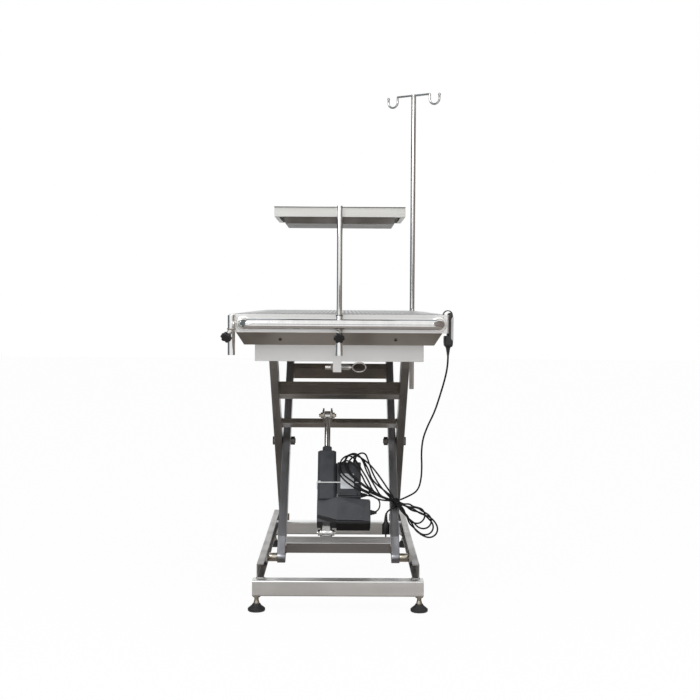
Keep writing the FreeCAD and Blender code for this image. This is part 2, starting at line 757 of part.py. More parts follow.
def pin_with_heads(line, along, across, washer_radius, half_gap):
    """A bolt across the actuator with its head, nut and two washers."""
    half = ACTUATOR_PIN_LENGTH / 2
    shape = pin_on(line, along, across, ACTUATOR_PIN_RADIUS, ACTUATOR_X - half, ACTUATOR_X + half)
    face = half_gap + EAR_THICKNESS
    pieces = []
    for side in (-1, 1):
        start = ACTUATOR_X + side * (face + FIT)
        washer_end = start + side * 1.5
        pieces.append(pin_on(line, along, across, washer_radius, start, washer_end))
        pieces.append(hexagon(BOLT_HEAD_FLATS, BOLT_HEAD_HEIGHT,
                              point_on(line, washer_end, along, across), V(side, 0, 0)))
    return shape.fuse(pieces)


def foot_bracket():
    """The ears and the bolt through them that the actuator's foot turns on."""
    bolt = pin_with_heads(INNER_LINE, FOOT_PIN_PLACE, FOOT_PIN_OFFSET,
                          ACTUATOR_PIN_RADIUS + 5, LUG_WIDTH / 2 + EAR_GAP)
    return Part.makeCompound([foot_ears(), bolt])


def rod_pin():
    return pin_with_heads(OUTER_LINE, ROD_PIN_PLACE, ROD_PIN_OFFSET,
                          ACTUATOR_PIN_RADIUS + 2 * PIN_ROOM, ROD_RADIUS + EAR_GAP)


def actuator_rod():
    """The bright push rod with its cross-drilled eye."""
    start = SPINDLE_END + COLLAR_LENGTH - ROD_IN_HOUSING
    shape = rod(ROD_RADIUS, point_on(ACTUATOR_LINE, ACTUATOR_X, start, 0),
                point_on(ACTUATOR_LINE, ACTUATOR_X, PIN_DISTANCE, 0))
    eye = pin_on(ACTUATOR_LINE, PIN_DISTANCE, 0, EYE_RADIUS,
                 ACTUATOR_X - ROD_RADIUS, ACTUATOR_X + ROD_RADIUS)
    hole = pin_on(ACTUATOR_LINE, PIN_DISTANCE, 0, ACTUATOR_PIN_RADIUS,
                  ACTUATOR_X - EYE_RADIUS, ACTUATOR_X + EYE_RADIUS)
    return shape.fuse(eye).cut(hole).removeSplitter()


def actuator_lug():
    """The metal foot lug, from the motor housing down to the foot pin."""
    half = LUG_WIDTH / 2
    plate = block_on(ACTUATOR_LINE, 0, MOTOR_START, -LUG_RADIUS, LUG_RADIUS,
                     ACTUATOR_X - half, ACTUATOR_X + half)
    nose = pin_on(ACTUATOR_LINE, 0, 0, LUG_RADIUS, ACTUATOR_X - half, ACTUATOR_X + half)
    hole = pin_on(ACTUATOR_LINE, 0, 0, ACTUATOR_PIN_RADIUS + FIT,
                  ACTUATOR_X - half - 1, ACTUATOR_X + half + 1)
    return plate.fuse(nose).cut(hole).removeSplitter()


def motor_housing():
    """The moulded gear and motor housing, lying across the foot of the actuator."""
    x0 = ACTUATOR_X - MOTOR_LEFT
    x1 = ACTUATOR_X + MOTOR_RIGHT
    half = MOTOR_THICKNESS / 2
    cut = MOTOR_CHAMFER
    outline = [
        (MOTOR_START, -half + cut), (MOTOR_START, half), (MOTOR_END - cut, half),
        (MOTOR_END, half - cut), (MOTOR_END, -half + cut),
        (MOTOR_END - cut, -half), (MOTOR_START + cut, -half),
    ]
    shape = prism([on_line(ACTUATOR_LINE, along, across) for along, across in outline], x0, x1)
    slope = [
        (ACTUATOR_X + SPINDLE_WIDTH / 2, MOTOR_END + 1), (x1 + 1, MOTOR_END + 1),
        (x1 + 1, MOTOR_END - cut), (ACTUATOR_X + MOTOR_RIGHT / 2, MOTOR_END - 1),
    ]
    corners = [point_on(ACTUATOR_LINE, x, along, -half - 1) for x, along in slope]
    across = point_on(ACTUATOR_LINE, 0, 0, 1).sub(point_on(ACTUATOR_LINE, 0, 0, 0))
    wedge = Part.Face(Part.makePolygon(corners + corners[:1])).extrude(across * (MOTOR_THICKNESS + 2))
    return shape.cut(wedge)


def spindle_housing():
    """The long rounded housing that holds the spindle, with the collar the rod slides in."""
    half_x = SPINDLE_WIDTH / 2
    half_n = SPINDLE_THICKNESS / 2
    cut = SPINDLE_CORNER
    section = [
        (-half_x, -half_n + cut), (-half_x + cut, -half_n), (half_x - cut, -half_n), (half_x, -half_n + cut),
        (half_x, half_n - cut), (half_x - cut, half_n), (-half_x + cut, half_n), (-half_x, half_n - cut),
    ]
    corners = [point_on(ACTUATOR_LINE, ACTUATOR_X + x, MOTOR_END, n) for x, n in section]
    along = point_on(ACTUATOR_LINE, 0, 1, 0).sub(point_on(ACTUATOR_LINE, 0, 0, 0))
    shape = Part.Face(Part.makePolygon(corners + corners[:1])).extrude(along * (SPINDLE_END - MOTOR_END))
    collar = rod(COLLAR_RADIUS, point_on(ACTUATOR_LINE, ACTUATOR_X, SPINDLE_END - 1, 0),
                 point_on(ACTUATOR_LINE, ACTUATOR_X, SPINDLE_END + COLLAR_LENGTH, 0))
    shape = shape.fuse(collar)
    bore = rod(ROD_RADIUS + FIT, point_on(ACTUATOR_LINE, ACTUATOR_X, MOTOR_END + 10, 0),
               point_on(ACTUATOR_LINE, ACTUATOR_X, SPINDLE_END + COLLAR_LENGTH + 1, 0))
    return shape.cut(bore)


def control_box():
    """The control box strapped beside the spindle housing, with its screwed-on lid."""
    x0 = ACTUATOR_X + SPINDLE_WIDTH / 2 + CONTROL_GAP
    x1 = x0 + CONTROL_WIDTH
    half = CONTROL_THICKNESS / 2
    end = CONTROL_START + CONTROL_LENGTH
    body = block_on(ACTUATOR_LINE, CONTROL_START, end, -half, half - CONTROL_LID, x0, x1)
    lid = block_on(ACTUATOR_LINE, CONTROL_START + CONTROL_LID_INSET, end - CONTROL_LID_INSET,
                   half - CONTROL_LID, half, x0 + CONTROL_LID_INSET, x1 - CONTROL_LID_INSET)
    foot = block_on(ACTUATOR_LINE, CONTROL_START - (CONTROL_START - MOTOR_END), CONTROL_START,
                    -half / 2, half / 2, x0, x0 + CONTROL_WIDTH / 4)
    web = block_on(ACTUATOR_LINE, CONTROL_START + CONTROL_LENGTH / 3, CONTROL_START + CONTROL_LENGTH / 2,
                   -half / 2, half / 2, x0 - CONTROL_GAP, x0)
    return body.fuse([lid, foot, web])


# ---------------------------------------------------------------- top and sub-frame

def subframe_side():
    """The right-hand side member: a channel, open inwards, that the upper roller runs in."""
    y0 = -SUBFRAME_END + SUBFRAME_WALL
    shape = box(SUBFRAME_MOUTH, SUBFRAME_FACE, y0, -y0, SUBFRAME_BOTTOM, SUBFRAME_TOP)
    track = box(SUBFRAME_MOUTH - 1, SUBFRAME_WEB, y0 - 1, -y0 + 1,
                SUBFRAME_BOTTOM + SUBFRAME_WALL, SUBFRAME_TOP - SUBFRAME_WALL)
    shape = shape.cut(track)
    boss = rod(BOSS_RADIUS, V(INNER_ARM_FACE + ROLLER_FACE_GAP, REAR_PIVOT_Y, UPPER_Z),
               V(SUBFRAME_WEB, REAR_PIVOT_Y, UPPER_Z))
    hole = rod(PIN_RADIUS, V(INNER_ARM_INNER, REAR_PIVOT_Y, UPPER_Z),
               V(SUBFRAME_FACE + 1, REAR_PIVOT_Y, UPPER_Z))
    return shape.fuse(boss).cut(hole)


def subframe_side_right():
    return subframe_side()


def subframe_side_left():
    return mirrored_x(subframe_side())


def subframe_end():
    """The front end member: a flanged plate that closes the side channels."""
    plate = box(-SUBFRAME_FACE, SUBFRAME_FACE, -SUBFRAME_END, -SUBFRAME_END + SUBFRAME_WALL,
                SUBFRAME_BOTTOM, SUBFRAME_TOP)
    reach = SUBFRAME_MOUTH - GAP
    flanges = []
    for z0 in (SUBFRAME_BOTTOM, SUBFRAME_TOP - SUBFRAME_WALL):
        flanges.append(box(-reach, reach, -SUBFRAME_END, -SUBFRAME_END + SUBFRAME_END_FLANGE,
                           z0, z0 + SUBFRAME_WALL))
    return plate.fuse(flanges)


def subframe_ends():
    front = subframe_end()
    return Part.makeCompound([front, front.mirror(V(0, 0, 0), V(0, 1, 0))])


def upper_pivot_pin():
    """The pin that carries the rear of the top on the inner arm."""
    head_x = INNER_ARM_INNER - ROLLER_FACE_GAP
    start = V(head_x, REAR_PIVOT_Y, UPPER_Z)
    shape = rod(PIN_RADIUS, start, V(SUBFRAME_FACE, REAR_PIVOT_Y, UPPER_Z))
    head = rod(PIN_HEAD_RADIUS, V(head_x - PIN_HEAD_HEIGHT, REAR_PIVOT_Y, UPPER_Z), start)
    return shape.fuse(head)


def upper_pivot_pins():
    return pair(upper_pivot_pin())


def rectangle(half_x, half_y):
    """The corners of a rectangle around the middle of the table, in turn."""
    return [V(-half_x, -half_y, 0), V(half_x, -half_y, 0), V(half_x, half_y, 0), V(-half_x, half_y, 0)]


def parted(shape, outer, inner):
    """The four sides of a rectangular ring, parted where folded sheets meet at its corners."""
    solids = []
    for i in range(4):
        corners = [outer[i - 1], outer[i], inner[i], inner[i - 1]]
        region = Part.Face(Part.makePolygon(corners + corners[:1])).extrude(V(0, 0, 2 * RIM_Z))
        solids.extend(shape.common(region).Solids)
    return solids


def mitred(shape, half_x, half_y, depth):
    """The four sides of a ring of even width, parted at its mitred and welded corners."""
    outer = rectangle(half_x + TOP_CORNER, half_y + TOP_CORNER)
    return parted(shape, outer, rectangle(half_x - depth, half_y - depth))


def table_top():
    """The folded top: apron, raised lip, gutter and the ledge that the deck lies on."""
    shape = rounded_box(-TOP_X, TOP_X, -TOP_Y, TOP_Y, APRON_BOTTOM, RIM_Z, TOP_CORNER, V(0, 0, 1))
    under = box(-TOP_X + SHEET, TOP_X - SHEET, -TOP_Y + SHEET, TOP_Y - SHEET,
                APRON_BOTTOM - 1, LEDGE_Z - SHEET)
    gutter = box(-TOP_X + LIP_WIDTH, TOP_X - LIP_WIDTH, -TOP_Y + LIP_WIDTH, TOP_Y - LIP_WIDTH,
                 LEDGE_Z, RIM_Z + 1)
    well = box(-TOP_X + LEDGE_WIDTH, TOP_X - LEDGE_WIDTH, -TOP_Y + LEDGE_WIDTH, TOP_Y - LEDGE_WIDTH,
               APRON_BOTTOM, RIM_Z)
    shape = shape.cut(under).cut(gutter).cut(well)
    return Part.makeCompound(mitred(shape, TOP_X, TOP_Y, LEDGE_WIDTH + LIP_WIDTH))


def basin_body(grow):
    """The basin's outer form, or its inner form when grow is less than nothing."""
    half_x = TOP_X - BASIN_INSET + grow
    half_y = TOP_Y - BASIN_INSET + grow
    upper = box(-half_x, half_x, -half_y, half_y, APRON_BOTTOM, LEDGE_Z - SHEET)
    lower = frustum(half_x - BASIN_TAPER, half_y - BASIN_TAPER, SUBFRAME_TOP - grow,
                    half_x, half_y, APRON_BOTTOM, 0)
    return upper.fuse(lower)


def drain_basin():
    """The basin under the deck: four tapered walls, a floor and the drain welded into it."""
    shell = basin_body(0).cut(basin_body(-BASIN_SHEET))
    opening = box(-TOP_X + LEDGE_WIDTH, TOP_X - LEDGE_WIDTH, -TOP_Y + LEDGE_WIDTH, TOP_Y - LEDGE_WIDTH,
                  APRON_BOTTOM, LEDGE_Z)
    half_x = TOP_X - BASIN_INSET
    half_y = TOP_Y - BASIN_INSET
    floor_x = half_x - BASIN_TAPER - BASIN_SHEET
    floor_y = half_y - BASIN_TAPER - BASIN_SHEET
    floor_top = SUBFRAME_TOP + BASIN_SHEET
    floor = box(-floor_x, floor_x, -floor_y, floor_y, SUBFRAME_TOP, floor_top)
    walls = mitred(shell.cut(opening).cut(floor), half_x, half_y, LEDGE_WIDTH)
    flange_half = DRAIN_FLANGE / 2
    flange = box(-flange_half, flange_half, -flange_half, flange_half, SUBFRAME_TOP, floor_top)
    panels = parted(floor.cut(flange), rectangle(floor_x, floor_y), rectangle(flange_half, flange_half))
    spigot = rod(DRAIN_RADIUS, V(0, 0, SUBFRAME_TOP - DRAIN_LENGTH), V(0, 0, floor_top))
    bore = rod(DRAIN_RADIUS - BASIN_SHEET, V(0, 0, SUBFRAME_TOP - DRAIN_LENGTH - 1),
               V(0, 0, floor_top + 1))
    drain = flange.fuse(spigot).cut(bore).removeSplitter()
    return Part.makeCompound(walls + panels + [drain])


def deck_panel():
    """The lift-out deck: a sheet, and the turned-down edges on which it stands on the ledge."""
    x = TOP_X - DECK_INSET
    y = TOP_Y - DECK_INSET
    under = DECK_TOP - SHEET
    edges = box(-x, x, -y, y, LEDGE_Z, under)
    edges = edges.cut(box(-x + SHEET, x - SHEET, -y + SHEET, y - SHEET, LEDGE_Z - 1, under + 1))
    sheet = box(-x, x, -y, y, under, DECK_TOP)
    return Part.makeCompound([sheet] + mitred(edges, x, y, DECK_INSET))


def push_rail_path():
    """The rail's middle line: out of the apron, round a bend, across, and back in."""
    z = RIM_Z - PUSH_RAIL_DROP
    half = PUSH_RAIL_SPAN / 2
    front = -TOP_Y - PUSH_RAIL_REACH
    bend = PUSH_RAIL_BEND
    knee = bend * (1 - math.sqrt(0.5))
    left = [
        V(-half, -TOP_Y, z),
        V(-half, front + bend, z),
        V(-half + knee, front + knee, z),
        V(-half + bend, front, z),
    ]
    right = [V(-point.x, point.y, point.z) for point in reversed(left)]
    for point in left + right:
        point.x += PUSH_RAIL_SHIFT
    edges = [
        Part.LineSegment(left[0], left[1]).toShape(),
        Part.Arc(left[1], left[2], left[3]).toShape(),
        Part.LineSegment(left[3], right[0]).toShape(),
        Part.Arc(right[0], right[1], right[2]).toShape(),
        Part.LineSegment(right[2], right[3]).toShape(),
    ]
    return Part.Wire(edges)


def pipe(path, start, direction, radius):
    """A round solid swept along a path."""
    ring = Part.Wire(Part.makeCircle(radius, start, direction))
    return path.makePipeShell([ring], True, False)


def push_rail():
    path = push_rail_path()
    start = path.Vertexes[0].Point
    direction = V(0, -1, 0)
    outside = pipe(path, start, direction, RAIL_TUBE_RADIUS)
    return outside.cut(pipe(path, start, direction, RAIL_TUBE_RADIUS - RAIL_TUBE_WALL))


# ---------------------------------------------------------------- sockets and posts

def knob_direction(turn):
    """The way a clamp screw points: out and down, turned by an angle seen from above."""
    tilt = math.radians(KNOB_TILT)
    yaw = math.radians(turn)
    return V(math.cos(tilt) * math.sin(yaw), -math.cos(tilt) * math.cos(yaw), -math.sin(tilt))


def boss_point(x, y):
    """Where a clamp screw's line crosses its socket's middle line."""
    return V(x, y, RIM_Z - BOSS_DROP)


def socket(x, y, bore, turn, apron_y):
    """A tube on the apron that holds a post, with a threaded boss for its clamp knob."""
    radius = bore + SOCKET_WALL
    body = rod(radius, V(x, y, SOCKET_BOTTOM), V(x, y, SOCKET_TOP))
    side = 1 if apron_y > y else -1
    strap_y = sorted((y + side * radius / 2, apron_y))
    strap = box(x - STRAP_WIDTH / 2, x + STRAP_WIDTH / 2, strap_y[0], strap_y[1],
                APRON_BOTTOM + 2 * SHEET, RIM_Z - 4 * SHEET)
    start = boss_point(x, y)
    direction = knob_direction(turn)
    boss = rod(KNOB_BOSS_RADIUS, start, start.add(direction * KNOB_BOSS_REACH))
    screw = rod(KNOB_SCREW_RADIUS, start, start.add(direction * (KNOB_BOSS_REACH + 1)))
    hole = rod(bore, V(x, y, SOCKET_BOTTOM - 1), V(x, y, SOCKET_TOP + 1))
    return body.fuse([strap, boss]).cut(hole).cut(screw).removeSplitter()


def post_sockets():
    """The two equal sockets at the front, one in the middle and one at the left corner."""
    middle = socket(0, POST_Y, POST_SOCKET_BORE, 0, -TOP_Y)
    corner = socket(CORNER_SOCKET_X, POST_Y, POST_SOCKET_BORE, -KNOB_TURN, -TOP_Y)
    return Part.makeCompound([middle, corner])


def pole_socket():
    return socket(POLE_SOCKET_X, POLE_Y, POLE_SOCKET_BORE, 180, TOP_Y)


def clamp_knob(x, y, bore, turn):
    """A star knob with its clamping screw, which ends at the socket's liner."""
    start = boss_point(x, y)
    direction = knob_direction(turn)
    tip = start.add(direction * ((bore + FIT) / math.cos(math.radians(KNOB_TILT)) + KNOB_SCREW_RADIUS))
    face = start.add(direction * (KNOB_BOSS_REACH + GAP))
    shape = rod(KNOB_SCREW_RADIUS - FIT, tip, face)
    shape = shape.fuse(rod(KNOB_HUB_RADIUS, face, face.add(direction * KNOB_THICKNESS)))
    turned = FreeCAD.Rotation(V(0, 0, 1), direction)
    lobes = []
    for index in range(KNOB_LOBES):
        angle = math.radians(360.0 / KNOB_LOBES * index)
        reach = KNOB_RADIUS - KNOB_LOBE_RADIUS
        offset = turned.multVec(V(reach * math.cos(angle), reach * math.sin(angle), 0))
        lobe_face = face.add(offset).add(direction * 2)
        lobes.append(rod(KNOB_LOBE_RADIUS, lobe_face, lobe_face.add(direction * (KNOB_THICKNESS - 2))))
    return shape.fuse(lobes).removeSplitter()


def centre_knob():
    return clamp_knob(0, POST_Y, POST_SOCKET_BORE, 0)


def corner_knob():
    return clamp_knob(CORNER_SOCKET_X, POST_Y, POST_SOCKET_BORE, -KNOB_TURN)


def pole_knob():
    return clamp_knob(POLE_SOCKET_X, POLE_Y, POLE_SOCKET_BORE, 180)


def liner(x, y, radius):
    """A plastic bush that turns in a socket while its post slides in it."""
    flange_bottom = SOCKET_TOP + FIT
    outer = radius + FIT + LINER_WALL
    body = rod(outer, V(x, y, SOCKET_BOTTOM), V(x, y, flange_bottom))
    flange = rod(outer + SOCKET_WALL, V(x, y, flange_bottom), V(x, y, flange_bottom + LINER_FLANGE))
    bore = rod(radius + FIT, V(x, y, SOCKET_BOTTOM - 1), V(x, y, SOCKET_TOP + LINER_FLANGE + 1))
    return body.fuse(flange).cut(bore)


def post_liner():
    return liner(0, POST_Y, POST_RADIUS)


def pole_liner():
    return liner(POLE_SOCKET_X, POLE_Y, POLE_RADIUS)


def tray_post():
    """The instrument post: a tube closed at its top."""
    body = rod(POST_RADIUS, V(0, POST_Y, POST_BOTTOM), V(0, POST_Y, POST_TOP))
    hollow = rod(POST_RADIUS - POST_WALL, V(0, POST_Y, POST_BOTTOM - 1), V(0, POST_Y, POST_TOP - POST_WALL))
    return body.cut(hollow)


def tray_frame():
    """The tray's frame: a folded lip with a border, a return flange, and the saddle on its post."""
    half = TRAY_WIDTH / 2
    back = TRAY_FRONT + TRAY_DEPTH
    shape = box(-half, half, TRAY_FRONT, back, TRAY_BOTTOM, TRAY_TOP)
    inside = box(-half + TRAY_SHEET, half - TRAY_SHEET, TRAY_FRONT + TRAY_SHEET, back - TRAY_SHEET,
                 TRAY_BOTTOM + TRAY_SHEET, TRAY_TOP - TRAY_SHEET)
    mouth = box(-half + TRAY_BORDER, half - TRAY_BORDER, TRAY_FRONT + TRAY_BORDER - 2, back - TRAY_BORDER + 2,
                TRAY_TOP - 2 * TRAY_SHEET, TRAY_TOP + 1)
    under = box(-half + TRAY_RETURN, half - TRAY_RETURN, TRAY_FRONT + TRAY_RETURN, back - TRAY_RETURN,
                TRAY_BOTTOM - 1, TRAY_BOTTOM + 2 * TRAY_SHEET)
    half = SADDLE_WIDTH / 2
    saddle = box(-half, half, TRAY_FRONT - SADDLE_WRAP, TRAY_FRONT,
                 TRAY_BOTTOM + TRAY_SHEET, TRAY_TOP - TRAY_SHEET)
    post = rod(POST_RADIUS, V(0, POST_Y, TRAY_BOTTOM), V(0, POST_Y, TRAY_TOP))
    return shape.cut(inside).cut(mouth).cut(under).fuse(saddle).cut(post)


def dish_body(grow):
    half_x = DISH_WIDTH / 2 + grow
    half_y = DISH_LENGTH / 2 + grow
    bottom = TRAY_TOP - DISH_DEPTH - grow
    return frustum(half_x - DISH_TAPER, half_y - DISH_TAPER, bottom, half_x, half_y,
                   TRAY_TOP + TRAY_SHEET, TRAY_MIDDLE_Y)


def tray_dish():
    """The instrument dish, hung by its rim in the tray frame."""
    half_x = DISH_WIDTH / 2 + DISH_RIM
    half_y = DISH_LENGTH / 2 + DISH_RIM
    rim = box(-half_x, half_x, TRAY_MIDDLE_Y - half_y, TRAY_MIDDLE_Y + half_y,
              TRAY_TOP, TRAY_TOP + TRAY_SHEET)
    mouth_x = DISH_WIDTH / 2 - TRAY_SHEET
    mouth_y = DISH_LENGTH / 2 - TRAY_SHEET
    mouth = box(-mouth_x, mouth_x, TRAY_MIDDLE_Y - mouth_y, TRAY_MIDDLE_Y + mouth_y,
                TRAY_TOP, TRAY_TOP + TRAY_SHEET + 1)
    return dish_body(0).fuse(rim).cut(dish_body(-TRAY_SHEET)).cut(mouth)


def infusion_pole():
    """The infusion pole: a long tube closed at its top."""
    x = POLE_SOCKET_X
    body = rod(POLE_RADIUS, V(x, POLE_Y, POLE_BOTTOM), V(x, POLE_Y, POLE_TOP))
    hollow = rod(POLE_RADIUS - POLE_WALL, V(x, POLE_Y, POLE_BOTTOM - 1), V(x, POLE_Y, POLE_TOP - POLE_WALL))
    return body.cut(hollow)


def hook_half():
    """One side of the hook bar, in its own plane: out, down into the hook and up to its tip."""
    bend = HOOK_WIDTH / 2
    low = -HOOK_DROP
    corner = V(HOOK_ARM, 0, 0)
    near = V(HOOK_ARM, 0, low)
    bottom = V(HOOK_ARM + bend, 0, low - bend)
    far = V(HOOK_ARM + HOOK_WIDTH, 0, low)
    end = V(HOOK_ARM + HOOK_WIDTH, 0, low + HOOK_TIP_RISE)
    straight = rod(HOOK_WIRE, V(0, 0, 0), corner)
    down = rod(HOOK_WIRE, corner, near)
    elbow = Part.makeSphere(HOOK_WIRE, corner)
    bowl_path = Part.Wire([Part.Arc(near, bottom, far).toShape()])
    bowl = pipe(bowl_path, near, V(0, 0, -1), HOOK_WIRE)
    tip = rod(HOOK_WIRE, far, end)
    ball = Part.makeSphere(HOOK_BALL, end)
    return straight.fuse([down, elbow, bowl, tip, ball])


def hook_bar():
    """The double hook on top of the infusion pole."""
    half = hook_half()
    other = half.copy()
    other.rotate(V(0, 0, 0), V(0, 0, 1), 180)
    cap = rod(POLE_RADIUS, V(0, 0, -POLE_CAP / 2), V(0, 0, POLE_CAP / 2))
    shape = half.fuse([other, cap]).removeSplitter()
    shape.rotate(V(0, 0, 0), V(0, 0, 1), -HOOK_TURN)
    shape.translate(V(POLE_SOCKET_X, POLE_Y, POLE_TOP + POLE_CAP / 2))
    return shape


# ---------------------------------------------------------------- locking pin

def latch_bracket():
    """A bent strap on the sub-frame's front that carries the spring-loaded locking pin."""
    x0 = LATCH_X - LATCH_WIDTH / 2
    x1 = LATCH_X + LATCH_WIDTH / 2
    top = SUBFRAME_BOTTOM + LATCH_TOP
    bottom = SUBFRAME_BOTTOM - LATCH_DROP
    front = LATCH_FRONT - LATCH_PLATE
    strap = box(x0, x1, front, LATCH_FRONT, bottom, top)
    floor = box(x0, x1, front, LATCH_FRONT + LATCH_DEPTH, bottom, bottom + LATCH_PLATE)
    cheeks = []
    for x in (x0, x1 - LATCH_PLATE):
        cheek = box(x, x + LATCH_PLATE, front, LATCH_FRONT + LATCH_DEPTH, bottom, SUBFRAME_BOTTOM)
        cheeks.append(cheek)
    hole = rod(LOCK_PIN_RADIUS + FIT, V(x0 - 1, LOCK_PIN_Y, LOCK_PIN_Z), V(x1 + 1, LOCK_PIN_Y, LOCK_PIN_Z))
    return strap.fuse([floor] + cheeks).cut(hole).removeSplitter()


def lock_pin():
    """The locking pin with its collar, and the ring that a finger draws it out by."""
    x0 = LATCH_X - LATCH_WIDTH / 2 - LOCK_PIN_IN
    x1 = LATCH_X + LATCH_WIDTH / 2 + LOCK_PIN_OUT
    shank = rod(LOCK_PIN_RADIUS, V(x0, LOCK_PIN_Y, LOCK_PIN_Z), V(x1, LOCK_PIN_Y, LOCK_PIN_Z))
    collar_x = LATCH_X - LATCH_WIDTH / 2 + LOCK_COLLAR_PLACE
    collar = rod(LOCK_COLLAR_RADIUS, V(collar_x, LOCK_PIN_Y, LOCK_PIN_Z),
                 V(collar_x + LOCK_COLLAR_LENGTH, LOCK_PIN_Y, LOCK_PIN_Z))
    neck = rod(RING_WIRE, V(x1, LOCK_PIN_Y, LOCK_PIN_Z), V(x1 + RING_NECK, LOCK_PIN_Y, LOCK_PIN_Z))
    ring_middle = V(x1 + RING_NECK + RING_RADIUS, LOCK_PIN_Y, LOCK_PIN_Z)
    ring = Part.makeTorus(RING_RADIUS, RING_WIRE, ring_middle, V(0, 1, 0))
    ring.rotate(ring_middle, V(1, 0, 0), RING_TILT)
    return shank.fuse([collar, neck, ring])


# ---------------------------------------------------------------- hand control

def handset_case():
    """The hand control's moulded case, with the hook that hangs it on the top's lip."""
    y0 = HANDSET_Y - HANDSET_WIDTH / 2
    y1 = HANDSET_Y + HANDSET_WIDTH / 2
    case = rounded_box(HANDSET_INNER, HANDSET_OUTER, y0, y1, HANDSET_BOTTOM, HANDSET_TOP,
                       HANDSET_CORNER, V(1, 0, 0))
    heel = rounded_box(HANDSET_INNER - HANDSET_HEEL, HANDSET_OUTER, y0, y1, HANDSET_BOTTOM,
                       APRON_BOTTOM - HANDSET_HEEL_TOP, HANDSET_CORNER, V(1, 0, 0))
    hook_z = RIM_Z + GAP
    hook_y0 = HANDSET_Y - HANDSET_WIDTH / 4
    hook_y1 = HANDSET_Y + HANDSET_WIDTH / 4
    inner = TOP_X - LIP_WIDTH - GAP
    bridge = box(inner - HOOK_LIP, HANDSET_INNER + 1, hook_y0, hook_y1, hook_z, hook_z + HOOK_WALL)
    lip = box(inner - HOOK_LIP, inner, hook_y0, hook_y1, LEDGE_Z + GAP, hook_z + HOOK_WALL)
    relief = Part.makeCone(RELIEF_TOP_RADIUS, RELIEF_END_RADIUS, RELIEF_LENGTH,
                           V(HANDSET_MIDDLE_X, HANDSET_Y, HANDSET_BOTTOM), V(0, 0, -1))
    shape = case.fuse([heel, bridge, lip, relief])
    for pocket in (button_shape(0, 0.0, FIT), button_shape(1, 0.0, FIT)):
        shape = shape.cut(pocket)
    return shape


def button_shape(index, proud, slack):
    """A push button, or the pocket it sits in when slack is given."""
    z = HANDSET_TOP - BUTTON_FROM_TOP - index * BUTTON_PITCH
    depth = BUTTON_TRAVEL + 3 + slack
    start = V(HANDSET_OUTER - depth, HANDSET_Y, z)
    if slack:
        start = V(HANDSET_OUTER - depth - BUTTON_TRAVEL, HANDSET_Y, z)
    return rod(BUTTON_RADIUS + slack, start, V(HANDSET_OUTER + proud + slack, HANDSET_Y, z))


def button_up():
    return button_shape(0, BUTTON_PROUD, 0)


def button_down():
    return button_shape(1, BUTTON_PROUD, 0)


# ---------------------------------------------------------------- cords

HANDSET_CORD_TOP = V(HANDSET_MIDDLE_X, HANDSET_Y, HANDSET_BOTTOM - RELIEF_LENGTH)
TIE_WAY = V(34, -14, 17).normalize()
TIE_END = KNOT.add(TIE_WAY * TIE_LENGTH)
TAIL_WAY = V(-72, -6, -54).normalize()
TAIL_START = KNOT.add(TAIL_WAY * TIE_LENGTH)
LEAD_WAY = V(-20, 40, 30).normalize()
LEAD_START = KNOT.add(LEAD_WAY * TIE_LENGTH)

HANDSET_CORD_ROUTE = [
    HANDSET_CORD_TOP,
    HANDSET_CORD_TOP.sub(V(0, 0, 24)),
    V(297, -521, 672),
    V(284, -490, 617),
    V(273, -455, 572),
    V(257, -415, 530),
    V(246, -370, 487),
    V(245, -325, 440),
    V(250, -280, 393),
    V(251, -236, 348),
    V(244, -198, 308),
    KNOT.add(TIE_WAY * 50),
    TIE_END,
]

CONTROL_LEAD_ROUTE = [
    LEAD_START,
    KNOT.add(LEAD_WAY * 38),
    V(146, -120, 312),
    V(127, -116, 340),
    V(97, -98, 376),
    V(62, -82, 399),
    V(32, -68, 404),
    point_on(ACTUATOR_LINE, 18, CONTROL_START + CONTROL_LENGTH + 20, -4),
    point_on(ACTUATOR_LINE, 18, CONTROL_START + CONTROL_LENGTH, -4),
]

MAINS_TAIL_ROUTE = [
    TAIL_START,
    KNOT.add(TAIL_WAY * 30),
    V(147, -158, 231),
    PLUG_TOP,
]


def motor_cord_route():
    """Out of the motor housing, up, and back into the side of the control box."""
    housing_x = ACTUATOR_X + MOTOR_RIGHT
    box_x = ACTUATOR_X + SPINDLE_WIDTH / 2 + CONTROL_GAP + CONTROL_WIDTH
    far_x = housing_x + MOTOR_CORD_REACH
    return [
        point_on(ACTUATOR_LINE, housing_x, MOTOR_CORD_LOW, 0),
        point_on(ACTUATOR_LINE, far_x, MOTOR_CORD_LOW, 0),
        point_on(ACTUATOR_LINE, far_x, MOTOR_CORD_HIGH, 0),
        point_on(ACTUATOR_LINE, box_x, MOTOR_CORD_HIGH, 0),
    ]


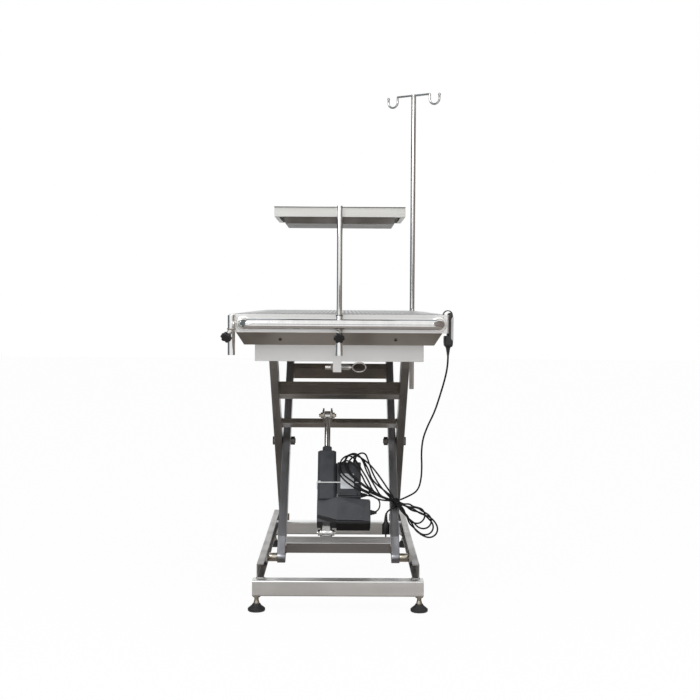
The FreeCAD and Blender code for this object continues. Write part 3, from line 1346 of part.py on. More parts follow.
def cord(name, route, radius):
    """A round cord along straight runs that are joined by tangent arcs."""
    edges = []
    start = route[0]
    length = 0.0
    tightest = float("inf")
    for before, corner, after in zip(route, route[1:], route[2:]):
        way_in = corner.sub(before)
        way_out = after.sub(corner)
        tangent = CORD_BEND * min(way_in.Length, way_out.Length)
        way_in.normalize()
        way_out.normalize()
        half_turn = way_in.getAngle(way_out) / 2
        bend = tangent / math.tan(half_turn)
        bisector = way_out.sub(way_in).normalize()
        arc_start = corner.sub(way_in * tangent)
        arc_end = corner.add(way_out * tangent)
        arc_middle = corner.add(bisector * (bend / math.cos(half_turn) - bend))
        edges.append(Part.LineSegment(start, arc_start).toShape())
        edges.append(Part.Arc(arc_start, arc_middle, arc_end).toShape())
        start = arc_end
        tightest = min(tightest, bend)
    edges.append(Part.LineSegment(start, route[-1]).toShape())
    path = Part.Wire(edges)
    shape = pipe(path, route[0], route[1].sub(route[0]), radius)
    expected = math.pi * radius ** 2 * path.Length
    print("%s: length %.0f mm, tightest radius %.1f mm, volume %.3f of section times length"
          % (name, path.Length, tightest, shape.Volume / expected))
    return shape


def handset_cord():
    return cord("handset_cord", HANDSET_CORD_ROUTE, CORD_RADIUS)


def control_lead():
    return cord("control_lead", CONTROL_LEAD_ROUTE, CORD_RADIUS)


def motor_cord():
    return cord("motor_cord", motor_cord_route(), MOTOR_CORD_RADIUS)


def mains_tail():
    return cord("mains_tail", MAINS_TAIL_ROUTE, CORD_RADIUS)


def flat_bar(start, end, start_radius, end_radius, face_way):
    """A flat bar with round ends of two sizes, like a bundle pressed between two boards."""
    way = end.sub(start).normalize()
    normal = face_way.sub(way * face_way.dot(way)).normalize()
    side = way.cross(normal)
    back = normal * (-HANK_THICKNESS / 2)
    corners = [
        start.add(side * start_radius), end.add(side * end_radius),
        end.sub(side * end_radius), start.sub(side * start_radius),
    ]
    corners = [corner.add(back) for corner in corners]
    face = Part.Face(Part.makePolygon(corners + corners[:1]))
    shape = face.extrude(normal * HANK_THICKNESS)
    for middle, radius in ((start, start_radius), (end, end_radius)):
        shape = shape.fuse(rod(radius, middle.add(back), middle.sub(back)))
    return shape


def hank_over_box():
    """The lobe of the hank over the control box, with its knot and the lead into the box."""
    box_front = point_on(ACTUATOR_LINE, 0, 0, 1).sub(point_on(ACTUATOR_LINE, 0, 0, 0))
    end = point_on(ACTUATOR_LINE, HANK_END_X, HANK_END_PLACE, HANK_END_OFFSET)
    upper = flat_bar(end, HANK_MIDDLE, HANK_END_RADIUS, HANK_MIDDLE_RADIUS, box_front)
    lower = flat_bar(HANK_MIDDLE, KNOT, HANK_MIDDLE_RADIUS, KNOT_RADIUS, V(0, -1, 0))
    neck_face = point_on(ACTUATOR_LINE, HANK_NECK_X, CONTROL_START + CONTROL_LENGTH, 0)
    neck_bend = point_on(ACTUATOR_LINE, HANK_NECK_X, HANK_NECK_PLACE, 0)
    neck_top = point_on(ACTUATOR_LINE, HANK_NECK_X, HANK_NECK_PLACE - CORD_RADIUS, HANK_END_OFFSET)
    neck = rod(CORD_RADIUS, neck_face, neck_bend).fuse(
        [Part.makeSphere(CORD_RADIUS, neck_bend), rod(CORD_RADIUS, neck_bend, neck_top)])
    shape = upper.fuse([lower, neck])
    beyond = box(LOBE_START_X, LOBE_START_X + 50, -300, 0, 0, 500)
    shape = shape.cut(beyond)
    ties = [rod(TIE_RADIUS, KNOT, point) for point in (TIE_END, TAIL_START, LEAD_START)]
    return shape.fuse(ties).removeSplitter()


def hank_over_arm():
    """The lobe of the hank that hangs outside the inner arm: a flat drop-shaped bundle."""
    plane_way = LOBE_TIP.sub(KNOT)
    slope = plane_way.y / plane_way.x
    points = []
    for x, z in LOBE_OUTLINE:
        points.append(V(x, KNOT.y + slope * (x - KNOT.x), z))
    curve = Part.BSplineCurve()
    curve.interpolate(points)
    outline = Part.Wire([curve.toShape(), Part.LineSegment(points[-1], points[0]).toShape()])
    face = Part.Face(outline)
    face.translate(V(0, -HANK_THICKNESS / 2, 0))
    return face.extrude(V(0, HANK_THICKNESS, 0))


def mains_plug():
    """The round moulded mains plug with its two pins."""
    shoulder = PLUG_TOP.sub(V(0, 0, PLUG_NECK))
    neck = Part.makeCone(PLUG_NECK_RADIUS, PLUG_RADIUS - 2, PLUG_NECK, PLUG_TOP, V(0, 0, -1))
    face = shoulder.sub(V(0, 0, PLUG_LENGTH - PLUG_NECK))
    body = rod(PLUG_RADIUS, shoulder, face)
    pins = []
    for side in (-0.5, 0.5):
        top = face.add(V(0, side * PLUG_PIN_SPACING, 0))
        pins.append(rod(PLUG_PIN_RADIUS, top, top.sub(V(0, 0, PLUG_PINS))))
    return body.fuse([neck] + pins)


# ---------------------------------------------------------------- the pieces

PIECES = {
    "base_cross_tubes": base_cross_tubes,
    "base_rail_left": base_rail_left,
    "base_rail_right": base_rail_right,
    "lower_pivot_pins": lower_pivot_pins,
    "foot_studs": foot_studs,
    "foot_pad_front_left": lambda: foot_pad(-FOOT_X, -FOOT_Y),
    "foot_pad_front_right": lambda: foot_pad(FOOT_X, -FOOT_Y),
    "foot_pad_rear_left": lambda: foot_pad(-FOOT_X, FOOT_Y),
    "foot_pad_rear_right": lambda: foot_pad(FOOT_X, FOOT_Y),
    "outer_arm_left": outer_arm_left,
    "outer_arm_right": outer_arm_right,
    "outer_crossbars": outer_crossbars,
    "rod_bracket": rod_bracket,
    "centre_pivot_bolts": centre_pivot_bolts,
    "upper_axles": upper_axles,
    "upper_rollers": upper_rollers,
    "inner_arm_left": inner_arm_left,
    "inner_arm_right": inner_arm_right,
    "inner_crossbars": inner_crossbars,
    "foot_bracket": foot_bracket,
    "lower_axles": lower_axles,
    "lower_rollers": lower_rollers,
    "motor_housing": motor_housing,
    "spindle_housing": spindle_housing,
    "actuator_lug": actuator_lug,
    "control_box": control_box,
    "actuator_rod": actuator_rod,
    "rod_pin": rod_pin,
    "subframe_side_left": subframe_side_left,
    "subframe_side_right": subframe_side_right,
    "subframe_ends": subframe_ends,
    "upper_pivot_pins": upper_pivot_pins,
    "table_top": table_top,
    "drain_basin": drain_basin,
    "deck_panel": deck_panel,
    "push_rail": push_rail,
    "post_sockets": post_sockets,
    "pole_socket": pole_socket,
    "centre_knob": centre_knob,
    "corner_knob": corner_knob,
    "pole_knob": pole_knob,
    "post_liner": post_liner,
    "tray_post": tray_post,
    "tray_frame": tray_frame,
    "tray_dish": tray_dish,
    "pole_liner": pole_liner,
    "infusion_pole": infusion_pole,
    "hook_bar": hook_bar,
    "latch_bracket": latch_bracket,
    "lock_pin": lock_pin,
    "handset_case": handset_case,
    "button_up": button_up,
    "button_down": button_down,
    "handset_cord": handset_cord,
    "control_lead": control_lead,
    "motor_cord": motor_cord,
    "hank_over_box": hank_over_box,
    "hank_over_arm": hank_over_arm,
    "mains_tail": mains_tail,
    "mains_plug": mains_plug,
}

os.makedirs("parts", exist_ok=True)
for name, make in PIECES.items():
    piece = make()
    piece.translate(OUTLINE_MIDDLE * -1)
    piece.exportStep(os.path.join("parts", name + ".step"))
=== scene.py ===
from math import copysign, cos, dist, pi, radians, sin, sqrt

import bmesh
import bpy
from mathutils import Matrix, Vector


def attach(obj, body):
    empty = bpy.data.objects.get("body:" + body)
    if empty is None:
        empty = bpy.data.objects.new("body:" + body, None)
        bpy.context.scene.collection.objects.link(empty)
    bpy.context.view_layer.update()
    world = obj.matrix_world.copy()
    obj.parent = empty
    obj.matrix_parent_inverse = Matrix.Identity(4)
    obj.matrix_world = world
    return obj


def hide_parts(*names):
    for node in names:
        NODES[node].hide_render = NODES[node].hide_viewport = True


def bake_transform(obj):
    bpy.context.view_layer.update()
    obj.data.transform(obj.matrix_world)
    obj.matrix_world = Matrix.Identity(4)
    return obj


# Sizes are millimetres in the table's own axes: X across, Y along, Z up, measured from the floor
# under the middle of the table. mm() turns a point into the frame's metres.
OUTLINE_MIDDLE = (20.3, 11.8)
ACROSS = (1, 0, 0)
UP = (0, 0, 1)

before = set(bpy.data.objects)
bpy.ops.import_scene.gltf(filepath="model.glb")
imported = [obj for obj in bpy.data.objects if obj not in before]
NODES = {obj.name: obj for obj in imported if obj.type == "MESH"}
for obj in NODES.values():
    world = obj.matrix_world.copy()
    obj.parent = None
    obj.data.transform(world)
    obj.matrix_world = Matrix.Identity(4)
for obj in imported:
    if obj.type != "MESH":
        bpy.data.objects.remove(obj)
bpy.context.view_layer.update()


def mm(x, y, z):
    return Vector(((x - OUTLINE_MIDDLE[0]) / 1000, (y - OUTLINE_MIDDLE[1]) / 1000, z / 1000))


def add_object(name, data):
    """A new object in the scene."""
    obj = bpy.data.objects.new(name, data)
    bpy.context.scene.collection.objects.link(obj)
    return obj


# ------------------------ camera

CAMERA_PLACE = (12.0, -3958.3, 890.6)
CAMERA_YAW = 0.0053
CAMERA_PITCH = -0.0401
CAMERA_ROLL = 0.006
FOCAL_PIXELS = 1227.8
FRAME_PIXELS = 700.0


def make_camera():
    """The photograph's camera, turned by its yaw, pitch and roll."""
    yaw, pitch = CAMERA_YAW, CAMERA_PITCH
    forward = Vector((sin(yaw) * cos(pitch), cos(yaw) * cos(pitch), sin(pitch)))
    level = Vector((cos(yaw), -sin(yaw), 0))
    upward = level.cross(forward)
    right = cos(CAMERA_ROLL) * level + sin(CAMERA_ROLL) * upward
    up = right.cross(forward)
    turn = Matrix((right, up, -forward)).transposed()
    data = bpy.data.cameras.new("camera")
    data.sensor_width = 36.0
    data.lens = FOCAL_PIXELS / FRAME_PIXELS * data.sensor_width
    data.clip_end = 100
    camera = add_object("camera", data)
    camera.matrix_world = Matrix.Translation(mm(*CAMERA_PLACE)) @ turn.to_4x4()
    bpy.context.scene.camera = camera


make_camera()

# ------------------------ points on the actuator

ACTUATOR_FOOT = (-211.5, 178.0)
ACTUATOR_COS = 0.5573
ACTUATOR_SIN = 0.8303
ACTUATOR_X = -38.0
ACTUATOR_WAY = (0, ACTUATOR_COS, ACTUATOR_SIN)
ACTUATOR_FRONT = (0, -ACTUATOR_SIN, ACTUATOR_COS)


def act(x, s, n):
    """The point s along the actuator and n in front of its middle plane."""
    return (x,
            ACTUATOR_FOOT[0] + s * ACTUATOR_COS - n * ACTUATOR_SIN,
            ACTUATOR_FOOT[1] + s * ACTUATOR_SIN + n * ACTUATOR_COS)


def over_box(x, z, lift):
    """The point over the control box's front that is seen at x, z."""
    s = (z - ACTUATOR_FOOT[1] - lift * ACTUATOR_COS) / ACTUATOR_SIN
    return act(x, s, lift)


def along(start, way, distance):
    size = sqrt(sum(value * value for value in way))
    return tuple(a + b / size * distance for a, b in zip(start, way))


# ------------------------ routes of the cords

CORD_RADIUS = 0.0026
MOTOR_CORD_RADIUS = 0.00225
HANDSET_X = 303.75
HANDSET_Y = -535.0
MAINS_EXIT = act(48, 234, 0)
LEAD_END = act(18, 234, -4)
MOTOR_CORD_START = act(98, 68, 0)
MOTOR_CORD_END = act(69, 127, 0)
PLUG_TOP = (147, -158, 207)

# The knot that all the strands pass, the ways in which the hand control's cord and the control
# lead leave it, and how far from its middle they end.
KNOT = (178, -154, 266)
CORD_WAY = (34, -14, 17)
LEAD_WAY = (-20, 40, 30)
KNOT_REACH = 16

HANDSET_CORD_ROUTE = [
    (HANDSET_X, HANDSET_Y, 736.7),
    (HANDSET_X, HANDSET_Y, 712.7),
    (297, -521, 672),
    (284, -490, 617),
    (273, -455, 572),
    (257, -415, 530),
    (246, -370, 487),
    (245, -325, 440),
    (250, -280, 393),
    (251, -236, 348),
    (244, -198, 308),
    along(KNOT, CORD_WAY, 50),
    along(KNOT, CORD_WAY, KNOT_REACH),
]

CONTROL_LEAD_ROUTE = [
    along(KNOT, LEAD_WAY, KNOT_REACH),
    along(KNOT, LEAD_WAY, 38),
    (146, -120, 312),
    (127, -116, 340),
    (97, -98, 376),
    (62, -82, 399),
    (32, -68, 404),
    act(18, 254, -4),
    LEAD_END,
]

MOTOR_CORD_ROUTE = [
    MOTOR_CORD_START,
    act(128, 68, 0),
    act(128, 127, 0),
    MOTOR_CORD_END,
]

# The mains lead leaves the control box's end, turns over it and runs down to the knot.
MAINS_START_ROUTE = [
    MAINS_EXIT,
    act(48, 244, 0),
    act(52, 258, 2),
    act(62, 267, 8),
    act(75, 267, 16),
    act(85, 258, 22),
    act(90, 242, 25),
    over_box(104, 354, 28),
    over_box(122, 322, 30),
    (147, -157, 293),
]
# It ends from the last loop over the box through the knot, and down to the plug. The tail takes
# the place of the last points of that loop.
MAINS_TAIL_ROUTE = [
    (163, -152, 284),
    (174, -153, 273),
    (177, -154.5, 259),
    (170, -156, 246),
    (157, -157, 240),
    (148.5, -158, 231),
    (147, -158, 219),
    PLUG_TOP,
]
POINTS_UNDER_TAIL = 3

# Each turn of the hank is one loop over the control box and one outside the arm, which meet in
# the knot. A loop is drop-shaped as it is seen from the front: its far end, half its width, its
# height over the box or its depth, and where its waves start.
BOX_LOOPS = [
    dict(end=(8, 390), half=47, lift=29.0, wave=0.4),
    dict(end=(26, 399), half=47, lift=33.0, wave=2.3),
    dict(end=(4, 376), half=45, lift=37.0, wave=4.1),
    dict(end=(36, 392), half=46, lift=31.0, wave=5.6),
]
ARM_LOOPS = [
    dict(end=(302, 166), half=37, depth=-3.0, wave=1.0),
    dict(end=(289, 172), half=34, depth=2.8, wave=3.0),
    dict(end=(284, 194), half=32, depth=-2.6, wave=4.4),
    dict(end=(264, 210), half=31, depth=3.2, wave=0.2),
]
LOOP_POINTS = 20
END_FULLNESS = 1.25
BOX_NECK = 2.3
ARM_NECK = 0.8
# How far the hanging loops come forward for each millimetre to the right.
ARM_LEAN = 0.0963
# Loops wave most near the knot, where the strands lie loose, and those over the box sag there.
BUNDLE_SAG = 18.0
WAVE_HEIGHT = 4.6
WAVE_COUNT = 2.4
BACK_WAVE = 2.2
# Brings the peak of out * (1 - out) ** 2 to 1.
PEAK_TO_ONE = 27 / 4
# The strands lie side by side in the knot, in two layers.
STRAND_PITCH = 2.6
MIDDLE_STRAND = 3.5
STRAND_WAY = (0.6, 0.8)


def drop(loop, half, neck, sag):
    """A loop out of the knot and back, as it is seen from the front: x, z and share of the way out."""
    span = dist(loop["end"], (KNOT[0], KNOT[2]))
    way_x = (loop["end"][0] - KNOT[0]) / span
    way_z = (loop["end"][1] - KNOT[2]) / span
    points = []
    for index in range(2, LOOP_POINTS - 1):
        turn = pi * index / LOOP_POINTS
        out = sin(turn) ** END_FULLNESS
        start = loop["wave"] if index < LOOP_POINTS / 2 else loop["wave"] + BACK_WAVE
        wave = sin(2 * pi * WAVE_COUNT * out + start)
        aside = half * sin(2 * turn) * sin(turn) ** neck
        aside += PEAK_TO_ONE * out * (1 - out) ** 2 * (sag + WAVE_HEIGHT * wave)
        points.append((KNOT[0] + way_x * span * out - way_z * aside,
                       KNOT[2] + way_z * span * out + way_x * aside, out))
    return points


def box_loop(loop):
    """Up the lower side, round the end over the box, and back down the upper side."""
    points = []
    for x, z, out in drop(loop, loop["half"], BOX_NECK, BUNDLE_SAG):
        share = out * (2 - out)
        points.append((x, KNOT[1] + (over_box(x, z, loop["lift"])[1] - KNOT[1]) * share, z))
    return points


def arm_loop(loop):
    """Down the lower side, round the hanging end, and back along the upper side."""
    points = []
    for x, z, out in drop(loop, -loop["half"], ARM_NECK, 0):
        points.append((x, KNOT[1] - ARM_LEAN * (x - KNOT[0]) + loop["depth"] * out, z))
    return points


def in_knot(index):
    """A strand's place in the knot."""
    step = (index - MIDDLE_STRAND) * STRAND_PITCH / 2
    layer = STRAND_PITCH if index % 2 else -STRAND_PITCH
    return (KNOT[0] + step * STRAND_WAY[0], KNOT[1] + layer, KNOT[2] + step * STRAND_WAY[1])


def mains_route():
    """Out of the control box, round the hank's turns, and through the knot to the plug."""
    way = MAINS_START_ROUTE + [in_knot(0)]
    for index, (over, under) in enumerate(zip(BOX_LOOPS, ARM_LOOPS)):
        way += arm_loop(under) + [in_knot(2 * index + 1)]
        way += box_loop(over) + [in_knot(2 * index + 2)]
    return way[:-POINTS_UNDER_TAIL] + MAINS_TAIL_ROUTE


# ------------------------ cords as splines and tubes

def spline_curve(name, route, radius):
    """A round cord as one NURBS spline through space."""
    data = bpy.data.curves.new(name, "CURVE")
    data.dimensions = "3D"
    data.resolution_u = 6
    data.bevel_depth = radius
    data.bevel_resolution = 3
    data.use_fill_caps = True
    spline = data.splines.new("NURBS")
    spline.points.add(len(route) - 1)
    for point, place in zip(spline.points, route):
        point.co = (*mm(*place), 1)
    spline.order_u = 3
    spline.use_endpoint_u = True
    return add_object(name, data)


def mesh_of(curve):
    """The curve's mesh, as Blender works it out."""
    graph = bpy.context.evaluated_depsgraph_get()
    return bpy.data.meshes.new_from_object(curve.evaluated_get(graph))


def spline_points(curve):
    """The points of the cord's middle line."""
    bevel = curve.data.bevel_depth
    curve.data.bevel_depth = 0
    bpy.context.view_layer.update()
    points = [vertex.co.copy() for vertex in mesh_of(curve).vertices]
    curve.data.bevel_depth = bevel
    bpy.context.view_layer.update()
    return points


def tube_of(curve):
    """The same cord as a mesh tube, with the points it follows."""
    path = spline_points(curve)
    mesh = mesh_of(curve)
    name = curve.name
    bpy.data.objects.remove(curve)
    mesh.name = name
    tube = add_object(name, mesh)
    for face in mesh.polygons:
        face.use_smooth = True
    return tube, path


# ------------------------ steps of the node materials

# The sockets of a Mix node that mixes colours.
MIX_SHARE = 0
MIX_FIRST = 6
MIX_SECOND = 7
MIX_RESULT = 2


def new_material(name):
    """A node material, its node tree and its shader."""
    material = bpy.data.materials.new(name)
    material.use_nodes = True
    return material, material.node_tree, material.node_tree.nodes["Principled BSDF"]


def feed(tree, socket, value):
    """Links another node's output to a socket, or sets the socket to a number or a colour."""
    if isinstance(value, bpy.types.NodeSocket):
        tree.links.new(value, socket)
    elif socket.type == "RGBA":
        socket.default_value = (*value, 1)
    else:
        socket.default_value = value


def set_inputs(tree, node, **values):
    """Feeds a node's inputs by name; an underscore in a name stands for a space."""
    for name, value in values.items():
        feed(tree, node.inputs[name.replace("_", " ")], value)
    return node


def add_node(tree, kind, **values):
    return set_inputs(tree, tree.nodes.new("ShaderNode" + kind), **values)


def own_place(tree):
    return add_node(tree, "TexCoord").outputs["Object"]


def coordinates(tree, scale=(1, 1, 1), turn=0.0):
    """The piece's own coordinates, turned about X and stretched."""
    place = add_node(tree, "Mapping", Vector=own_place(tree), Rotation=(radians(turn), 0, 0))
    return add_node(tree, "Mapping", Vector=place.outputs["Vector"], Scale=scale).outputs["Vector"]


def noise(tree, vector, scale, detail=4.0):
    node = add_node(tree, "TexNoise", Vector=vector, Scale=scale, Detail=detail, Roughness=0.6)
    return node.outputs["Fac"]


def ranged(tree, value, low, high, start=0.3, end=0.7):
    """The value's run from start to end, turned into a run from low to high."""
    node = add_node(tree, "MapRange", Value=value, From_Min=start, From_Max=end, To_Min=low, To_Max=high)
    return node.outputs["Result"]


def mixed(tree, share, first, second, blend="MIX"):
    node = add_node(tree, "Mix")
    node.data_type = "RGBA"
    node.blend_type = blend
    feed(tree, node.inputs[MIX_FIRST], first)
    feed(tree, node.inputs[MIX_SECOND], second)
    tree.links.new(share, node.inputs[MIX_SHARE])
    return node.outputs[MIX_RESULT]


def separated(tree, vector):
    """The X, Y and Z parts of a vector."""
    return tuple(add_node(tree, "SeparateXYZ", Vector=vector).outputs)


def calculated(tree, operation, *values):
    """A Math node's result; its values are numbers or other nodes' outputs."""
    node = add_node(tree, "Math")
    node.operation = operation
    for socket, value in zip(node.inputs, values):
        feed(tree, socket, value)
    return node.outputs[0]


def vector_step(tree, operation, vector, other=None):
    """A Vector Math node's result, which is a number for a length."""
    node = add_node(tree, "VectorMath")
    node.operation = operation
    tree.links.new(vector, node.inputs[0])
    if other:
        node.inputs[1].default_value = other
    return node.outputs["Value" if operation == "LENGTH" else "Vector"]


def bumped(tree, shader, height, strength, distance):
    node = add_node(tree, "Bump", Height=height, Strength=strength, Distance=distance)
    set_inputs(tree, shader, Normal=node.outputs["Normal"])


# ------------------------ patterns of the materials

# The deck's holes, in metres and shares of their pitch; they are painted near-black, as painted shade seen
# through them.
HOLE_PITCH = 0.012
HOLE_SHARE = 0.34
HOLE_EDGE = 0.03
HOLES_REACH = 0.228
HOLES_REACH_EDGE = 0.0005
HOLE_SHADE = (0.02, 0.02, 0.02)


def perforated(tree, colour):
    """Rows of round holes across the deck and along its turned-down edges, painted as near-black spots of
    shade.
    """
    x, y, z = separated(tree, own_place(tree))
    cell = add_node(tree, "CombineXYZ", X=x, Y=calculated(tree, "ADD", y, z))
    counted = vector_step(tree, "MULTIPLY", cell.outputs[0], (1 / HOLE_PITCH, 1 / HOLE_PITCH, 0))
    inside = vector_step(tree, "FRACTION", counted)
    reach = vector_step(tree, "LENGTH", vector_step(tree, "SUBTRACT", inside, (0.5, 0.5, 0)))
    hole = ranged(tree, reach, 1, 0, HOLE_SHARE - HOLE_EDGE, HOLE_SHARE + HOLE_EDGE)
    away = calculated(tree, "ABSOLUTE", calculated(tree, "ADD", x, OUTLINE_MIDDLE[0] / 1000))
    field = ranged(tree, away, 1, 0, HOLES_REACH - HOLES_REACH_EDGE, HOLES_REACH + HOLES_REACH_EDGE)
    return mixed(tree, calculated(tree, "MULTIPLY", hole, field), colour, HOLE_SHADE)


def lit_below_shaded_above(tree, colour, low):
    """One colour below the middle of the scissor and another above it: painted light on the low bar and
    painted shade on the high bar under the top.
    """
    height = separated(tree, own_place(tree))[2]
    return mixed(tree, ranged(tree, height, 0, 1, start=0.40, end=0.50), low, colour)


def painted_underside_shade(tree, colour, share):
    """The colour with its downward faces darkened by a share, as painted shade on the faces that look down.
    """
    normal = add_node(tree, "NewGeometry").outputs["Normal"]
    down = ranged(tree, separated(tree, normal)[2], 1, 0, start=-0.75, end=-0.35)
    return mixed(tree, down, colour, (1 - share, 1 - share, 1 - share), "MULTIPLY")


# ------------------------ materials

# Stretches of the grain: across a piece, along it, or the same every way.
GRAIN_ACROSS = (3, 260, 260)
GRAIN_ALONG = (260, 3, 260)
GRAIN_PLATED = (60, 60, 60)
GRAIN_WELD = (300, 300, 300)
# The arms' angle at rest, which their grain and their weld beads follow.
REST_ANGLE = 42.2


def steel(name, dark, light, rough, grain=GRAIN_ACROSS, turn=0.0, patch=3.0, low=None, under=0.0,
          holes=False):
    """Stainless steel with its grain along one way and slow changes of tone."""
    material, tree, shader = new_material(name)
    fine = noise(tree, coordinates(tree, grain, turn), scale=1.0, detail=5.0)
    slow = noise(tree, coordinates(tree, turn=turn), patch, detail=2.0)
    colour = mixed(tree, ranged(tree, slow, 0, 1, start=0.38, end=0.62), dark, light)
    # Painted light and shade: a paler colour below the middle of the scissor, where the bars stand in the
    # light.
    if low:
        colour = lit_below_shaded_above(tree, colour, low)
    # Painted shade on the faces that look down.
    if under:
        colour = painted_underside_shade(tree, colour, under)
    if holes:
        colour = perforated(tree, colour)
    roughness = ranged(tree, fine, rough - 0.07, rough + 0.09)
    set_inputs(tree, shader, Metallic=1.0, Base_Color=colour, Roughness=roughness)
    bumped(tree, shader, fine, strength=0.12, distance=0.0004)
    return material


def chrome(name, colour, rough):
    """Polished tube and wire, with faint smears."""
    material, tree, shader = new_material(name)
    smear = noise(tree, coordinates(tree, scale=(30, 30, 6)), scale=1.0, detail=3.0)
    darker = tuple(value * 0.9 for value in colour)
    colour = mixed(tree, ranged(tree, smear, 0, 1), darker, colour)
    roughness = ranged(tree, smear, rough, rough + 0.07)
    set_inputs(tree, shader, Metallic=1.0, Base_Color=colour, Roughness=roughness)
    return material


def moulded(name, dark, light, rough, grain=900.0, bump=0.25, specular=0.5):
    """Plastic or rubber with a fine moulded texture, slight fading, and painted shade on its downward faces.
    """
    material, tree, shader = new_material(name)
    fine = noise(tree, coordinates(tree), grain, detail=2.0)
    slow = noise(tree, coordinates(tree), scale=25.0, detail=3.0)
    colour = mixed(tree, ranged(tree, slow, 0, 1), dark, light)
    # Painted shade: the faces that look down are darkened.
    colour = painted_underside_shade(tree, colour, share=0.6)
    roughness = ranged(tree, slow, rough - 0.06, rough + 0.08)
    set_inputs(tree, shader, Base_Color=colour, Roughness=roughness, Specular_IOR_Level=specular)
    bumped(tree, shader, fine, bump, distance=0.0002)
    return material


SHEET = steel("apron_sheet", (0.84, 0.84, 0.83), (0.93, 0.93, 0.92), 0.38)
DECK_SHEET = steel("deck_sheet", (0.50, 0.50, 0.50), (0.60, 0.60, 0.60), 0.36, holes=True)
PALE_SHEET = steel("tray_sheet", (0.66, 0.66, 0.64), (0.74, 0.74, 0.72), 0.36)
DISH_SHEET = steel("dish_sheet", (0.12, 0.11, 0.10), (0.21, 0.20, 0.19), 0.36, patch=7.0)
BASIN_SHEET = steel("basin_sheet", (0.30, 0.28, 0.26), (0.50, 0.48, 0.45), 0.36, patch=5.0)
SUBFRAME_SHEET = steel("subframe_sheet", (0.76, 0.76, 0.75), (0.84, 0.84, 0.83), 0.38)
BASE_TUBE = steel("base_tube", (0.86, 0.87, 0.86), (0.95, 0.96, 0.95), 0.38, patch=5.0)
TRACK = steel("roller_track", (0.34, 0.33, 0.32), (0.52, 0.51, 0.50), 0.38, GRAIN_ALONG, patch=9.0)
OUTER_ARM = steel("outer_arm_tube", (0.30, 0.295, 0.28), (0.44, 0.43, 0.41), 0.33, GRAIN_ALONG,
                  REST_ANGLE, 4.0)
INNER_ARM = steel("inner_arm_tube", (0.31, 0.32, 0.345), (0.45, 0.46, 0.49), 0.33, GRAIN_ALONG,
                  -REST_ANGLE, 4.0)
OUTER_BAR = steel("outer_crossbar", (0.46, 0.44, 0.41), (0.66, 0.63, 0.59), 0.3, patch=5.0)
# Painted light and shade: the low front bar near-white as it is lit, the high rear bar darker in the shade
# under the top, and the faces that look down darker still.
INNER_BAR = steel("inner_crossbar", (0.36, 0.35, 0.33), (0.62, 0.54, 0.48), 0.34, patch=7.0,
                  low=(0.90, 0.90, 0.91), under=0.5)
CHROME = chrome("polished_tube", (0.86, 0.86, 0.85), 0.10)
PLATED = steel("zinc_plate", (0.46, 0.42, 0.34), (0.62, 0.58, 0.50), 0.26, GRAIN_PLATED, patch=40.0)
BLACKED = steel("blacked_steel", (0.07, 0.065, 0.06), (0.15, 0.14, 0.13), 0.28, GRAIN_PLATED, patch=40.0)
RUBBER = moulded("black_rubber_foot", (0.012, 0.012, 0.013), (0.028, 0.028, 0.029), 0.62)
CHARCOAL = moulded("charcoal_housing", (0.046, 0.048, 0.054), (0.066, 0.070, 0.078), 0.46, 700.0)
BLACK = moulded("black_moulding", (0.012, 0.012, 0.013), (0.024, 0.024, 0.026), 0.38)
CHARCOAL_FACE = moulded("charcoal_lid", (0.050, 0.052, 0.058), (0.070, 0.074, 0.082), 0.40, 700.0)
GREY = moulded("grey_moulding", (0.42, 0.41, 0.41), (0.52, 0.51, 0.51), 0.42)
NYLON = moulded("white_nylon", (0.70, 0.70, 0.71), (0.80, 0.80, 0.80), 0.38)
PAPER = moulded("blank_plate", (0.62, 0.64, 0.66), (0.74, 0.75, 0.77), 0.30)
JACKET = moulded("cord_jacket", (0.006, 0.006, 0.007), (0.014, 0.014, 0.015), 0.40, 300.0, 0.1, 0.3)
WELD = steel("weld_bead", (0.40, 0.36, 0.30), (0.60, 0.57, 0.52), 0.32, GRAIN_WELD, patch=90.0)
# Near-black painted shade, for the screw recesses, the strip under the motor's shell and the motor's end
# cover.
SHADE_BLACK = moulded("painted_shade_black", (0.006, 0.006, 0.006), (0.012, 0.012, 0.012), 0.7)

# ------------------------ the pieces carried over

MATERIAL_NODES = [
    (SHEET, ["table_top"]),
    (DECK_SHEET, ["deck_panel"]),
    (BASIN_SHEET, ["drain_basin"]),
    (PALE_SHEET, ["tray_frame"]),
    (DISH_SHEET, ["tray_dish"]),
    (SUBFRAME_SHEET, ["subframe_side_left", "subframe_side_right", "subframe_ends", "latch_bracket"]),
    (BASE_TUBE, ["base_cross_tubes"]),
    (TRACK, ["base_rail_left", "base_rail_right"]),
    (OUTER_ARM, ["outer_arm_left", "outer_arm_right"]),
    (INNER_ARM, ["inner_arm_left", "inner_arm_right"]),
    (OUTER_BAR, ["outer_crossbars", "rod_bracket"]),
    (INNER_BAR, ["inner_crossbars"]),
    (CHROME, ["foot_bracket", "push_rail", "post_sockets", "pole_socket", "tray_post", "infusion_pole",
              "hook_bar", "actuator_rod", "lock_pin", "actuator_lug"]),
    (PLATED, ["lower_pivot_pins", "upper_pivot_pins", "upper_axles", "lower_axles", "rod_pin",
              "foot_studs"]),
    (BLACKED, ["centre_pivot_bolts"]),
    (RUBBER, ["foot_pad_front_left", "foot_pad_front_right", "foot_pad_rear_left",
              "foot_pad_rear_right"]),
    (CHARCOAL, ["motor_housing", "spindle_housing", "control_box"]),
    (BLACK, ["centre_knob", "corner_knob", "pole_knob", "post_liner", "pole_liner", "handset_case",
             "mains_plug"]),
    (GREY, ["upper_rollers", "lower_rollers", "button_up", "button_down"]),
]

MATERIAL_OF = {name: material for material, names in MATERIAL_NODES for name in names}

